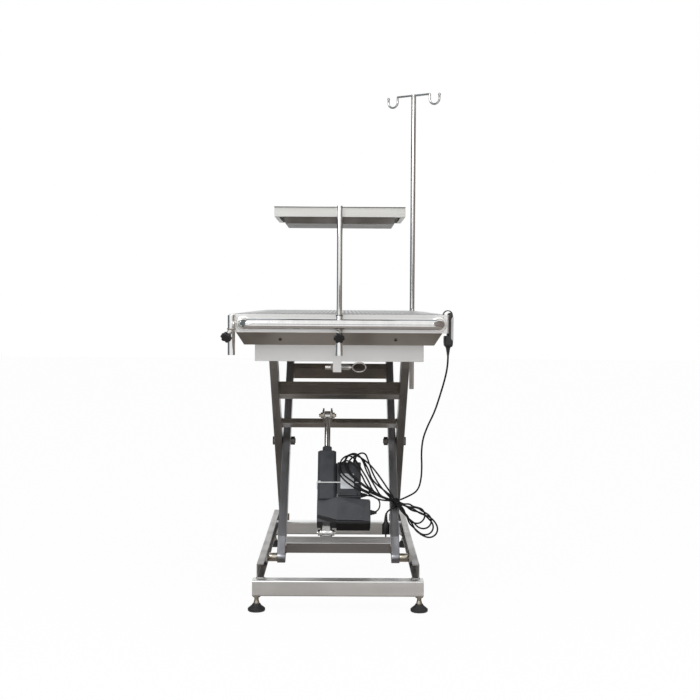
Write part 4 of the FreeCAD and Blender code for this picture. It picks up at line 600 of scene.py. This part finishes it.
# Rounded edges, in metres.
EDGE_WIDTH = {
    "motor_housing": 0.004, "spindle_housing": 0.003, "control_box": 0.0025, "handset_case": 0.0025,
    "outer_arm_left": 0.002, "outer_arm_right": 0.002, "inner_arm_left": 0.002,
    "inner_arm_right": 0.002, "outer_crossbars": 0.0015, "inner_crossbars": 0.0015,
    "centre_knob": 0.0012, "corner_knob": 0.0012, "pole_knob": 0.0012, "mains_plug": 0.003,
    "table_top": 0.0008, "drain_basin": 0.0006, "tray_frame": 0.0006, "tray_dish": 0.0006,
    "subframe_ends": 0.001, "latch_bracket": 0.0009, "base_rail_left": 0.0007, "base_rail_right": 0.0007,
}
DEFAULT_EDGE = 0.0005


def round_edges(obj, width, angle):
    """Rounds the edges that turn by more than an angle in degrees."""
    bevel = obj.modifiers.new("edge", "BEVEL")
    bevel.width = width
    bevel.segments = 2
    bevel.limit_method = "ANGLE"
    bevel.angle_limit = radians(angle)


def dress_nodes():
    """Gives each carried-over piece its material and rounds its edges in modifiers."""
    for name, obj in NODES.items():
        if name in MATERIAL_OF:
            obj.data.materials.clear()
            obj.data.materials.append(MATERIAL_OF[name])
            weld = obj.modifiers.new("join", "WELD")
            weld.merge_threshold = 0.00002
            round_edges(obj, EDGE_WIDTH.get(name, DEFAULT_EDGE), angle=40)


dress_nodes()

# ------------------------ cords on the object

SLOT_MATERIALS = [
    ("brushed_stainless", [SHEET, DISH_SHEET]),
    ("polished_stainless", [CHROME]),
    ("tube_stainless", [WELD]),
    ("plated_fasteners", [PLATED, BLACKED]),
    ("charcoal_plastic", [CHARCOAL, CHARCOAL_FACE, SHADE_BLACK]),
    ("black_plastic", [BLACK]),
    ("grey_plastic", [GREY, NYLON, PAPER]),
    ("black_cord", [JACKET]),
]
SLOT_OF = {material.name: slot for slot, materials in SLOT_MATERIALS for material in materials}


def dress(obj, material, body, slot=None):
    """Gives a new piece its material and the body it rides on."""
    slot = slot or SLOT_OF[material.name]
    obj.data.materials.clear()
    obj.data.materials.append(material)
    if body:
        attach(obj, body)
    return obj


def make_cord(name, route, radius, body, old_nodes, **facts):
    """A cord along its route, in place of the plain nodes that stood for it."""
    tube, path = tube_of(spline_curve(name, route, radius))
    dress(tube, JACKET, body)
    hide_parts(*old_nodes)
    return tube, path


def make_cords():
    """Makes the four cords and gives the mains lead's middle line."""
    handset, line = make_cord("handset_cord_jacket", HANDSET_CORD_ROUTE, CORD_RADIUS, None,
                              ["handset_cord"], far_end="object", stiffness="limp", lay="hanging")
    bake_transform(handset)
    make_cord("control_lead_jacket", CONTROL_LEAD_ROUTE, CORD_RADIUS, "actuator", ["control_lead"],
              far_end="object", stiffness="limp", lay="hanging")
    make_cord("motor_cord_jacket", MOTOR_CORD_ROUTE, MOTOR_CORD_RADIUS, "actuator", ["motor_cord"],
              far_end="object", stiffness="medium", lay="hanging")
    return make_cord("mains_lead_jacket", mains_route(), CORD_RADIUS, "actuator",
                     ["hank_over_box", "hank_over_arm", "mains_tail"], far_end="plug",
                     stiffness="medium", lay="coiled", with_pieces=["mains_plug"])[1]


MAINS_LINE = make_cords()

# ------------------------ forms of the trim

WIRE_SIDES = 8
RING_STEPS = 40
RING_RIPPLES = 13
# A straight weld bead: the length of a ripple in millimetres, the steps that draw it, its share
# of the radius, and how fast and from what share of it the ends grow.
RIPPLE_LENGTH = 3.2
RIPPLE_STEPS = 3
RIPPLE_SHARE = 0.16
BEAD_TAPER = 6
BEAD_END = 0.2
THREAD_STEPS = 20
THREAD_SHARE = 0.42
QUARTER_TURNS = (0, pi / 2, pi, 3 * pi / 2)


def mesh_object(name, build, material, body, smooth=True, bevel=0.0, slot=None):
    """A piece made by a function that fills a bmesh, in metres."""
    work = bmesh.new()
    build(work)
    bmesh.ops.recalc_face_normals(work, faces=work.faces)
    mesh = bpy.data.meshes.new(name)
    work.to_mesh(mesh)
    work.free()
    obj = add_object(name, mesh)
    for face in mesh.polygons:
        face.use_smooth = smooth
    if bevel:
        round_edges(obj, bevel, angle=35)
    return dress(obj, material, body, slot)


def loft(work, rings):
    """Joins rings of points into one closed skin with flat ends."""
    rows = [[work.verts.new(point) for point in ring] for ring in rings]
    count = len(rows[0])
    for lower, upper in zip(rows, rows[1:]):
        for index in range(count):
            after = (index + 1) % count
            work.faces.new((lower[index], lower[after], upper[after], upper[index]))
    work.faces.new(rows[0][::-1])
    work.faces.new(rows[-1])


def axis_frame(direction):
    """Two directions square to the given one."""
    way = direction.normalized()
    side = way.cross(Vector((0, 0, 1)) if abs(way.z) < 0.9 else Vector((1, 0, 0))).normalized()
    return side, way.cross(side)


def spokes(direction, count):
    """Directions square to the given one, evenly all round it."""
    side, other = axis_frame(direction)
    angles = [2 * pi * index / count for index in range(count)]
    return [side * cos(angle) + other * sin(angle) for angle in angles]


def turned(work, start, direction, profile, count):
    """A turned form: its profile is (distance along, radius) in metres."""
    way = direction.normalized()
    round_it = spokes(direction, count)
    loft(work, [[start + way * distance + spoke * radius for spoke in round_it]
                for distance, radius in profile])


def ring_bead(work, middle, direction, radius, wire, wobble):
    """A round bead that runs in a circle, rippled like a weld when wobble is given."""
    way = direction.normalized()
    turns = [2 * pi * index / WIRE_SIDES for index in range(WIRE_SIDES)]
    rows = []
    for index, out in enumerate(spokes(direction, RING_STEPS)):
        size = wire * (1 + wobble * sin(2 * pi * index / RING_STEPS * RING_RIPPLES))
        rows.append([work.verts.new(middle + out * (radius + size * cos(turn))
                                    + way * size * sin(turn)) for turn in turns])
    for lower, upper in zip(rows, rows[1:] + rows[:1]):
        for index in range(WIRE_SIDES):
            after = (index + 1) % WIRE_SIDES
            work.faces.new((lower[index], lower[after], upper[after], upper[index]))


def line_bead(work, start, end, radius, ripples):
    """A straight weld bead with ripples, tapered at both ends."""
    direction = end - start
    round_it = spokes(direction, WIRE_SIDES)
    steps = ripples * RIPPLE_STEPS
    rings = []
    for index in range(steps + 1):
        share = index / steps
        size = radius * (1 + RIPPLE_SHARE * sin(share * ripples * 2 * pi))
        size *= min(1, BEAD_TAPER * share + BEAD_END)
        size *= min(1, BEAD_TAPER * (1 - share) + BEAD_END)
        rings.append([start + direction * share + spoke * size for spoke in round_it])
    loft(work, rings)


def turned_piece(name, start, way, profile, material, body, count=28, bevel=0.0004, slot=None):
    """A turned piece; its profile is (distance along, radius) in millimetres."""
    sizes = [(distance / 1000, radius / 1000) for distance, radius in profile]
    return mesh_object(name, lambda work: turned(work, mm(*start), Vector(way), sizes, count),
                       material, body, bevel=bevel, slot=slot)


def ring(name, middle, way, radius, wire, material, body, wobble=0.0):
    """A closed round wire."""
    return mesh_object(name, lambda work: ring_bead(work, mm(*middle), Vector(way), radius / 1000,
                                                    wire / 1000, wobble), material, body)


def seam(name, start, end, radius, body):
    """A weld bead from start to end."""
    ripples = max(4, round(dist(start, end) / RIPPLE_LENGTH))
    return mesh_object(name, lambda work: line_bead(work, mm(*start), mm(*end), radius / 1000, ripples),
                       WELD, body)


def thread(name, start, way, length, radius, pitch, material, body):
    """A screw thread or a spring: a thin helix along a line."""
    side, other = axis_frame(Vector(way))
    forward = Vector(way).normalized()
    size = pitch * THREAD_SHARE / 1000
    rings = []
    for index in range(round(length / pitch * THREAD_STEPS) + 1):
        angle = 2 * pi * index / THREAD_STEPS
        out = side * cos(angle) + other * sin(angle)
        middle = mm(*start) + forward * (pitch * index / THREAD_STEPS / 1000) + out * radius / 1000
        rings.append([middle + out * size * cos(turn) + forward * size * sin(turn)
                      for turn in QUARTER_TURNS])
    return mesh_object(name, lambda work: loft(work, rings), material, body)


# Shares of a screw head's height and radius.
SCREW_PROFILE = [(0, 1), (0.55, 1), (0.85, 0.86), (1, 0.62)]
RECESS_PROFILE = [(0, 0.44), (0.14, 0.44)]
RECESS_START = 0.9


def screw_head(name, place, way, radius, height, body):
    """A round-headed screw with a hexagon recess, whose floor is a near-black disc of painted shade."""
    head, recess = [[(height * a, radius * b) for a, b in profile]
                    for profile in (SCREW_PROFILE, RECESS_PROFILE)]
    turned_piece(name, place, way, head, BLACKED, body, count=24, bevel=0)
    start = tuple(a + b * height * RECESS_START for a, b in zip(place, Vector(way).normalized()))
    turned_piece(name + "_recess", start, way, recess, SHADE_BLACK, body, count=6, bevel=0,
                 slot="plated_fasteners")


# ------------------------ trim of the actuator

# Plates on the control box and across the actuator: from and to in x, from and to along it, the
# distance in front, the cut corner, the thickness, the material and the rounded edge in metres.
BOX_PLATES = [
    ("box_lid", (-6, 66), (116, 230), 20, 5, 2.0, CHARCOAL, 0.0012),
    ("box_lid_panel", (0, 60), (124, 220), 22, 4, 1.2, CHARCOAL_FACE, 0.0008),
    ("box_plate", (5, 47), (138, 190), 23.2, 1.5, 0.5, PAPER, 0.0001),
]
TIE_FRONT = ("cable_tie_front", (-70, 72), (157, 160.6), 24.6, 0.3, 1.0, NYLON, 0.0003)
TIE_HEAD = ("cable_tie_head", (-64, -57), (155, 162.6), 24.6, 0.8, 4.6, NYLON, 0.0006)
TIE_SIDES = (("left", -69.2), ("right", 70.2))
TIE_EDGES = ((157, 24.6), (160.6, 24.6), (160.6, -24), (157, -24))
BOX_SCREWS = [(3, 120), (57, 120), (3, 226), (57, 226)]
BOX_SCREW_HEIGHT = 22
# A strip of painted shade under the motor's shell, and the black rail between the housing and the box, a
# bracket that also stands in for the shade in the gap there.
SHADE_STRIP_OUTLINE = [(-66.6, 46.5), (-9, 26.6), (-9, 24.4), (-34, 24.4), (-66.6, 36)]
SHADE_STRIP_HEIGHT = 30
RAIL_OUTLINE = [(-9.4, 114), (-5.6, 114), (-5.6, 232), (-9.4, 232)]
RAIL_BACK = -12
RAIL_DEPTH = 24
# Levels of the end cover: distance along, from and to in x, back and front.
COVER_LEVELS = [(24.5, -7, 97, -29, 29.4), (20, -7, 97, -29, 29), (18.5, -5, 95, -27, 27)]
# The raised shell on the motor's front: its rim and the point where its three folds meet, each
# as x, the distance along the actuator and the height over its middle plane.
SHELL_RIM = [(-66, 86, 30.4), (-6, 103.5, 37.0), (96, 98, 32.0), (97, 24.8, 30.8),
             (67, 26, 37.6), (-6, 27, 37.0), (-66, 48, 30.4)]
SHELL_FOLD = (77, 69, 37.6)
SHELL_BACK = 29.0
COLLAR_START = 275
COLLAR_PITCH = 6.5
COLLAR_RADII = (15.6, 14.2, 12.6)


def plate(name, corners, thick, way, material, bevel, slot=None):
    """A flat piece of the actuator: its outline's corners, made thick along a way."""
    depth = Vector(way).normalized() * thick / 1000
    near = [mm(*corner) for corner in corners]
    far = [corner + depth for corner in near]
    return mesh_object(name, lambda work: loft(work, [near, far]), material, "actuator", False, bevel, slot)


def face_plate(name, across, along_it, n, corner, thick, material, bevel):
    """A plate with cut corners, n in front of the actuator's middle plane."""
    x0, x1 = across
    s0, s1 = along_it
    flat = [(x0 + corner, s0), (x1 - corner, s0), (x1, s0 + corner), (x1, s1 - corner),
            (x1 - corner, s1), (x0 + corner, s1), (x0, s1 - corner), (x0, s0 + corner)]
    plate(name, [act(x, s, n) for x, s in flat], thick, ACTUATOR_FRONT, material, bevel)


def motor_cover(work):
    """The flat end cover under the motor, beside the foot lug, near-black as painted shade."""
    loft(work, [[mm(*act(x, s, n)) for x, n in ((x0, back), (x1, back), (x1, front), (x0, front))]
                for s, x0, x1, back, front in COVER_LEVELS])


def motor_shell(work):
    """The raised shell on the motor's front, which folds back to the left and the right."""
    rim = [work.verts.new(mm(*act(*point))) for point in SHELL_RIM]
    back = [work.verts.new(mm(*act(x, s, SHELL_BACK))) for x, s, n in SHELL_RIM]
    fold = work.verts.new(mm(*act(*SHELL_FOLD)))
    work.faces.new([rim[0], rim[1], rim[5], rim[6]])
    work.faces.new([rim[1], rim[2], fold])
    work.faces.new([rim[1], fold, rim[4], rim[5]])
    work.faces.new([rim[2], rim[3], rim[4], fold])
    work.faces.new(back)
    for index in range(len(rim)):
        after = (index + 1) % len(rim)
        work.faces.new([rim[index], rim[after], back[after], back[index]])


def box_trim():
    for row in BOX_PLATES:
        face_plate(*row)
    for index, (x, s) in enumerate(BOX_SCREWS):
        screw_head("box_screw_%d" % index, act(x, s, BOX_SCREW_HEIGHT), ACTUATOR_FRONT, radius=2.6,
                   height=1.6, body="actuator")


def motor_trim():
    # Painted shade: a near-black strip on the motor's front, under its shell.
    shade_strip = [act(x, s, SHADE_STRIP_HEIGHT) for x, s in SHADE_STRIP_OUTLINE]
    plate("motor_shade_strip", shade_strip, thick=0.7, way=ACTUATOR_FRONT, material=SHADE_BLACK, bevel=0.0002)
    # A black bracket, which also stands in for the shade in the gap between the housing and the box.
    rail = [act(x, s, RAIL_BACK) for x, s in RAIL_OUTLINE]
    plate("box_bracket", rail, RAIL_DEPTH, ACTUATOR_FRONT, BLACK, bevel=0.0004,
          slot="charcoal_plastic")
    mesh_object("motor_shell", motor_shell, CHARCOAL, "actuator", smooth=False, bevel=0.0009)
    # The end cover is near-black: painted shade where it faces down.
    mesh_object("motor_cover", motor_cover, SHADE_BLACK, "actuator", smooth=False, bevel=0.0015)
    for index, radius in enumerate(COLLAR_RADII):
        ring("collar_ridge_%d" % index, act(ACTUATOR_X, COLLAR_START + COLLAR_PITCH * index, 0),
             ACTUATOR_WAY, radius, wire=1.3, material=CHARCOAL, body="actuator")


def cable_tie():
    face_plate(*TIE_FRONT)
    for name, x in TIE_SIDES:
        side = [act(x, s, n) for s, n in TIE_EDGES]
        plate("cable_tie_" + name, side, thick=1.0, way=ACROSS, material=NYLON, bevel=0.0003)
    face_plate(*TIE_HEAD)


# ------------------------ trim of the base and scissor

FOOT_PLACES = [(x, y) for x in (-233.5, 233.5) for y in (-465.5, 465.5)]
STUD_PITCH = 1.9
# The two threaded lengths of a stud: name, height, length and radius.
STUD_THREADS = [("stud_thread_%d", 24, 15, 6.0), ("stud_thread_top_%d", 48, 19, 5.6)]
# The welds of the roller channels on the cross tubes.
TRACK_SEAM_SIDES = (("inner", 213.0), ("outer", 234.4))
TRACK_SEAM_Y = (443.4, 458.6)
TRACK_SEAM_Z = 92.6
# The ends of the square crossbars: name, half their length, middle in y and z, turn and body.
BAR_ENDS = [
    ("outer_bar_seam", 186.4, -115.45, 609.4, -REST_ANGLE, "outer_arms"),
    ("front_bar_seam", 159.4, -228.45, 143.9, REST_ANGLE, "inner_arms"),
    ("rear_bar_seam", 159.4, 324.25, 645.0, REST_ANGLE, "inner_arms"),
]
BAR_HALF = 19.0
TIE_BAR_ENDS = (("left", (-186.4, 35.5, 491.5)), ("right", (186.4, 35.5, 491.5)))


def base_trim():
    for index, (x, y) in enumerate(FOOT_PLACES):
        for name, z, length, radius in STUD_THREADS:
            thread(name % index, (x, y, z), UP, length, radius, STUD_PITCH, PLATED, "base")
    for side in (-1, 1):
        for end in (-1, 1):
            for name, x in TRACK_SEAM_SIDES:
                start, stop = [(side * x, end * y, TRACK_SEAM_Z) for y in TRACK_SEAM_Y]
                seam("track_seam_%s_%d_%d" % (name, side, end), start, stop, radius=1.7, body="base")


def bar_seams(name, x, y, z, turn, body):
    """Weld beads round the two ends of a square crossbar."""
    angle = radians(turn)
    corners = []
    for a, b in ((-BAR_HALF, -BAR_HALF), (BAR_HALF, -BAR_HALF), (BAR_HALF, BAR_HALF), (-BAR_HALF, BAR_HALF)):
        corners.append((y + a * cos(angle) - b * sin(angle),
                        z + a * sin(angle) + b * cos(angle)))
    for side in (-1, 1):
        for index in range(4):
            start, stop = corners[index], corners[(index + 1) % 4]
            seam("%s_%d_%d" % (name, side, index), (side * x, *start), (side * x, *stop), radius=2.0,
                 body=body)


def scissor_trim():
    for row in BAR_ENDS:
        bar_seams(*row)
    for name, place in TIE_BAR_ENDS:
        ring("tie_bar_seam_" + name, place, ACROSS, radius=15.4, wire=1.8, material=WELD,
             body="outer_arms", wobble=0.16)


# ------------------------ trim of the top and tray

RAIL_Z = 826.7
RAIL_ENDS = (("left", -261.0), ("right", 273.0))
APRON_Y = -600
FLANGE_THICKNESS = 3.6
FLANGE_PROFILE = [(0, 21), (2.4, 21), (3.4, 19.6), (FLANGE_THICKNESS, 15.2)]
TOP_WOBBLE = 0.15
APRON_SEAMS = (("corner_left", -284.6), ("corner_right", 284.6))
APRON_SEAM_Y = -600.2
APRON_SEAM_Z = (806, 850)
# The basin's sloping front: a point on it, its fall of 35 for each 21 inwards, and its screws.
BASIN_TOP = (-584, 802.74)
BASIN_FALL = 35
BASIN_RUN = 21
BASIN_SCREWS = [(-163, 783.5), (156, 783.5)]
SOCKET_SEAMS = (("centre", (0, -614, 812)), ("corner", (-294, -612, 812)))
# The tray's raised rim: its sides in x, its front and rear, its height and the bead's radius.
TRAY_RIM_X = (-178, 178)
TRAY_RIM_Y = (-605.6, -333.1)
TRAY_RIM_Z = 1144.8
TRAY_RIM_RADIUS = 1.0
LATCH_LINE = (-456.0, 700.7)


def top_trim():
    for name, x in RAIL_ENDS:
        turned_piece("rail_flange_" + name, (x, APRON_Y, RAIL_Z), (0, -1, 0), FLANGE_PROFILE, SHEET,
                     "top", count=40)
        ring("rail_seam_" + name, (x, APRON_Y - FLANGE_THICKNESS, RAIL_Z), (0, 1, 0), radius=14.6, wire=1.6,
             material=WELD, body="top", wobble=TOP_WOBBLE)
    for name, x in APRON_SEAMS:
        start, stop = [(x, APRON_SEAM_Y, z) for z in APRON_SEAM_Z]
        seam("apron_seam_" + name, start, stop, radius=0.5, body="top")
    for index, (x, z) in enumerate(BASIN_SCREWS):
        y = BASIN_TOP[0] + BASIN_RUN * (BASIN_TOP[1] - z) / BASIN_FALL
        screw_head("basin_screw_%d" % index, (x, y, z), (0, -BASIN_FALL, -BASIN_RUN), radius=4.6,
                   height=2.4, body="top")
        screw_head("basin_screw_rear_%d" % index, (x, -y, z), (0, BASIN_FALL, -BASIN_RUN), radius=4.6,
                   height=2.4, body="top")
    for name, place in SOCKET_SEAMS:
        ring("socket_seam_" + name, place, UP, radius=10.6, wire=1.6, material=WELD,
             body="top", wobble=TOP_WOBBLE)


def tray_trim():
    (left, right), (front, rear) = TRAY_RIM_X, TRAY_RIM_Y
    rim = [((left, front), (right, front)), ((left, rear), (right, rear)),
           ((left, front), (left, rear)), ((right, front), (right, rear))]
    for index, (start, stop) in enumerate(rim):
        way = (stop[0] - start[0], stop[1] - start[1], 0)
        bead = [(0, TRAY_RIM_RADIUS), (dist(start, stop), TRAY_RIM_RADIUS)]
        turned_piece("tray_rim_%d" % index, (*start, TRAY_RIM_Z), way, bead, DISH_SHEET, "tray",
                     count=12, bevel=0)


def latch_trim():
    nut, washer = [(0, 9.4), (5, 9.4)], [(0, 10.2), (1.2, 10.2)]
    turned_piece("latch_nut_inner", (-24.5, *LATCH_LINE), ACROSS, nut, PLATED, "top", count=6)
    turned_piece("latch_washer", (-19.4, *LATCH_LINE), ACROSS, washer, PLATED, "top")
    thread("latch_spring", (7.5, *LATCH_LINE), ACROSS, length=20, radius=7.4, pitch=3.1,
           material=CHROME, body="top")


# ------------------------ hand control

# Levels of the case and its face: height, inner side, outer side and half the width.
CASE_LEVELS = [
    (762.8, 298.0, 311.0, 14.0), (764.6, 294.2, 314.2, 18.5), (769.0, 292.4, 315.7, 21.6),
    (776.0, 292.0, 316.0, 22.8), (790.6, 292.0, 316.0, 23.0), (793.6, 293.4, 316.0, 23.0),
    (794.2, 300.6, 316.0, 23.0), (846.0, 300.6, 316.0, 23.0), (852.5, 301.4, 315.2, 21.6),
    (856.4, 303.0, 313.4, 18.5), (858.4, 305.6, 310.8, 13.0),
]
FACE_LEVELS = [
    (781.0, 309.0, 316.3, 21.4), (783.0, 307.4, 316.8, 22.6), (788.0, 306.6, 316.9, 23.3),
    (840.0, 306.6, 316.9, 23.3), (846.0, 307.4, 316.8, 22.6), (848.0, 309.0, 316.3, 21.4),
]
CASE_CORNER = 5.0
LEAST_FLAT = 0.2
CORNER_STEPS = 6
HOOK_MIDDLE = (302.0, 852.0)
HOOK_OUTER = 13.8
HOOK_INNER = 11.2
HOOK_HALF_WIDTH = 11.5
HOOK_LEG_END = 838
HOOK_LIP_END = 848.0
HOOK_STEPS = 12
# The strain relief: its collar, then ribs that grow thinner, each with a groove, and its tip.
RELIEF_TOP = 763.5
RELIEF_COLLAR = [(0, 7.2), (2, 7.2)]
RELIEF_RIBS = 5
FIRST_RIB = (2.2, 6.4)
RIB_PITCH = 4.6
RIB_SHRINK = 0.7
RIB_PROFILE = [(0, 0), (2.4, 0), (2.6, -0.9), (4.4, -0.9)]
RELIEF_TIP = (30, 2.8)


def rounded_section(z, x0, x1, half_width):
    """A level rectangle with rounded corners."""
    corner = min(CASE_CORNER, (x1 - x0) / 2 - LEAST_FLAT, half_width - LEAST_FLAT)
    corners = ((x1, half_width), (x0, half_width), (x0, -half_width), (x1, -half_width))
    points = []
    for index, (x, y) in enumerate(corners):
        middle_x = x - copysign(corner, x - (x0 + x1) / 2)
        middle_y = y - copysign(corner, y)
        for step in range(CORNER_STEPS):
            angle = radians(90 * index + 90 / (CORNER_STEPS - 1) * step)
            points.append(mm(middle_x + corner * cos(angle),
                             HANDSET_Y + middle_y + corner * sin(angle), z))
    return points


def levels_piece(name, levels, material):
    rings = [rounded_section(*level) for level in levels]
    return mesh_object(name, lambda work: loft(work, rings), material, "handset", bevel=0.0008)


def hook_outline(radius, half_width):
    """One edge line of the hook: the case's side, over the lip, and down inside it."""
    x, z = HOOK_MIDDLE
    line = [(x + radius, HOOK_LEG_END)]
    for step in range(HOOK_STEPS + 1):
        angle = radians(180 / HOOK_STEPS * step)
        line.append((x + radius * cos(angle), z + radius * sin(angle)))
    line.append((x - radius, HOOK_LIP_END))
    return [mm(a, HANDSET_Y + half_width, b) for a, b in line]


def hook(work):
    edges = [hook_outline(HOOK_OUTER, -HOOK_HALF_WIDTH), hook_outline(HOOK_OUTER, HOOK_HALF_WIDTH),
             hook_outline(HOOK_INNER, HOOK_HALF_WIDTH), hook_outline(HOOK_INNER, -HOOK_HALF_WIDTH)]
    loft(work, list(zip(*edges)))


def relief_profile():
    profile = list(RELIEF_COLLAR)
    for step in range(RELIEF_RIBS):
        start = FIRST_RIB[0] + RIB_PITCH * step
        radius = FIRST_RIB[1] - RIB_SHRINK * step
        profile += [(start + a, radius + b) for a, b in RIB_PROFILE]
    return profile + [RELIEF_TIP]


def hand_control():
    case = levels_piece("handset_shell", CASE_LEVELS, BLACK)
    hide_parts("handset_case")
    levels_piece("handset_face", FACE_LEVELS, GREY)
    mesh_object("handset_hook", hook, BLACK, "handset", bevel=0.0007)
    turned_piece("handset_relief", (HANDSET_X, HANDSET_Y, RELIEF_TOP), (0, 0, -1), relief_profile(),
                 BLACK, "handset", bevel=0.0002)


# ------------------------ trim of the cords

SLEEVE_RIBS = 6
SLEEVE_RIB_STEPS = 6
SLEEVE_GROOVE = 0.13
SLEEVE_SIDES = 20
SLEEVE_END = 3.2
GLAND = [(0, 8.2), (5, 8.2), (5.2, 6.6), (12, 6.2), (12.2, 5.4), (20, 3.2)]
LEAD_GLAND = [(0, 6.4), (4, 6.4), (4.2, 5.2), (16, 3.2)]
# The tie round the knot: for each turn of cord, its place along the way and its radius.
TIE_WAY = (0.79, -0.08, -0.61)
TIE_TURNS = ((-5.6, 10.504), (-1.9, 11.096), (1.9, 11.096), (5.6, 10.504))


def followed(path, length, steps):
    """Places at even steps from a path's start, each with the path's direction there."""
    walked = [0.0]
    for before, after in zip(path, path[1:]):
        walked.append(walked[-1] + (after - before).length)
    places = []
    leg = 0
    for index in range(steps + 1):
        distance = length * index / steps
        while leg < len(path) - 2 and walked[leg + 1] < distance:
            leg += 1
        share = (distance - walked[leg]) / (walked[leg + 1] - walked[leg])
        places.append((path[leg].lerp(path[leg + 1], share), path[leg + 1] - path[leg]))
    return places


def sleeve(name, path, length, radius):
    """A ribbed strain relief round a cord's start, which grows thinner along it."""
    steps = SLEEVE_RIBS * SLEEVE_RIB_STEPS
    rings = []
    for index, (middle, direction) in enumerate(followed(path, length / 1000, steps)):
        size = (radius + (SLEEVE_END - radius) * index / steps) / 1000
        size *= 1 - SLEEVE_GROOVE * (index % SLEEVE_RIB_STEPS >= SLEEVE_RIB_STEPS / 2)
        rings.append([middle + spoke * size for spoke in spokes(direction, SLEEVE_SIDES)])
    return mesh_object(name, lambda work: loft(work, rings), BLACK, "actuator", bevel=0.0003)


def cord_trim():
    sleeve("mains_exit_relief", MAINS_LINE, length=26, radius=5.6)
    sleeve("plug_relief", MAINS_LINE[::-1], length=24, radius=6.2)
    turned_piece("motor_gland", MOTOR_CORD_START, ACROSS, GLAND, BLACK, "actuator")
    turned_piece("box_gland", MOTOR_CORD_END, ACROSS, GLAND, BLACK, "actuator")
    turned_piece("lead_gland", LEAD_END, ACTUATOR_WAY, LEAD_GLAND, BLACK, "actuator")
    for index, (place, radius) in enumerate(TIE_TURNS):
        middle = tuple(a + place * b for a, b in zip(KNOT, TIE_WAY))
        ring("hank_tie_%d" % index, middle, TIE_WAY, radius, wire=2.0, material=JACKET, body="actuator")


box_trim()
motor_trim()
cable_tie()
base_trim()
scissor_trim()
top_trim()
tray_trim()
latch_trim()
hand_control()
cord_trim()

# ------------------------ stage, light

FLOOR_TONES = ((0.88, 0.88, 0.88), (0.90, 0.90, 0.90))
# The share of white that the camera and polished metal see in the floor; the rest keeps shadows.
FLOOR_WHITE = 0.96
CARD_DARKENING = 0.85
# Matt boards: name, middle, turn in degrees, width and height, and colour.
CARDS = [
    ("board_right", (1500, -680, 1300), (90, 0, 90), (4660, 3400), (0.25, 0.21, 0.19)),
    ("board_left", (-1500, 290, 1300), (90, 0, 90), (3400, 3400), (0.18, 0.205, 0.215)),
    ("board_above", (0, 1250, 2900), (0, 0, 0), (2400, 2600), (0.26, 0.30, 0.36)),
    ("board_below", (0, -100, 5), (0, 0, 0), (3200, 3100), (0.34, 0.305, 0.28)),
    ("board_behind_camera", (0, -5600, 300), (90, 0, 0), (5200, 1100), (0.30, 0.27, 0.25)),
]
# Lamps: name, place, the point they face, size in metres and power.
LIGHTS = [
    ("key", (-1700, -2600, 2700), (0, 0, 600), (2.2, 1.6), 42),
    ("fill", (2200, -2400, 1800), (0, 0, 500), (2.0, 2.0), 22),
]


def ray_share(tree, *kinds):
    """1 on rays of any of these kinds and 0 on others."""
    path = add_node(tree, "LightPath")
    share = path.outputs[kinds[0]]
    for kind in kinds[1:]:
        share = calculated(tree, "MAXIMUM", share, path.outputs[kind])
    return share


def join_shaders(tree, share, first, second, output):
    """Mixes two shaders by a share into the surface of an output."""
    node = add_node(tree, "MixShader", Fac=share)
    tree.links.new(first.outputs[0], node.inputs[1])
    tree.links.new(second.outputs[0], node.inputs[2])
    set_inputs(tree, tree.nodes[output], Surface=node.outputs[0])


def matt_material(name, scale, dark, light):
    """A matt material with slow changes of tone."""
    material, tree, shader = new_material(name)
    mottle = noise(tree, coordinates(tree), scale)
    colour = mixed(tree, ranged(tree, mottle, 0, 1), dark, light)
    set_inputs(tree, shader, Base_Color=colour, Roughness=0.9)
    return material, tree, shader


def make_stage():
    """A pale floor that the camera and polished metal see as nearly white."""
    bpy.ops.mesh.primitive_plane_add(size=30, location=(0, 0, 0))
    floor = bpy.context.object
    floor.name = "floor"
    material, tree, shader = matt_material("floor_white", 2.0, *FLOOR_TONES)
    set_inputs(tree, shader, Specular_IOR_Level=0.0)
    glow = add_node(tree, "Emission", Strength=1.0)
    share = calculated(tree, "MULTIPLY", ray_share(tree, "Is Camera Ray", "Is Glossy Ray"), FLOOR_WHITE)
    join_shaders(tree, share, shader, glow, "Material Output")
    floor.data.materials.append(material)


def make_card(name, place, turn, size, colour):
    """A matt board outside the picture, which polished tubes reflect."""
    bpy.ops.mesh.primitive_plane_add(size=1, location=mm(*place))
    card = bpy.context.object
    card.name = name
    card.scale = (size[0] / 1000, size[1] / 1000, 1)
    card.rotation_euler = [radians(angle) for angle in turn]
    darker = tuple(value * CARD_DARKENING for value in colour)
    material, tree, shader = matt_material(name + "_board", 3.0, darker, colour)
    card.data.materials.append(material)
    card.visible_camera = False
    card.visible_diffuse = False
    card.visible_shadow = False


def make_light(name, place, aim, size, power):
    data = bpy.data.lights.new(name, "AREA")
    data.shape = "RECTANGLE"
    data.size, data.size_y = size
    data.energy = power
    light = add_object(name, data)
    light.location = mm(*place)
    way = mm(*aim) - light.location
    light.rotation_euler = way.to_track_quat("-Z", "Y").to_euler()


def make_world():
    """Soft light from all round, and a white background."""
    world = bpy.data.worlds.new("studio")
    bpy.context.scene.world = world
    world.use_nodes = True
    tree = world.node_tree
    soft = set_inputs(tree, tree.nodes["Background"], Color=(0.97, 0.98, 1.0), Strength=0.72)
    white = add_node(tree, "Background", Color=(1, 1, 1), Strength=1.0)
    share = ray_share(tree, "Is Camera Ray", "Is Glossy Ray", "Is Transmission Ray")
    join_shaders(tree, share, soft, white, "World Output")
    bpy.context.scene.view_settings.view_transform = "Standard"


make_stage()
for card_row in CARDS:
    make_card(*card_row)
for light_row in LIGHTS:
    make_light(*light_row)
make_world()
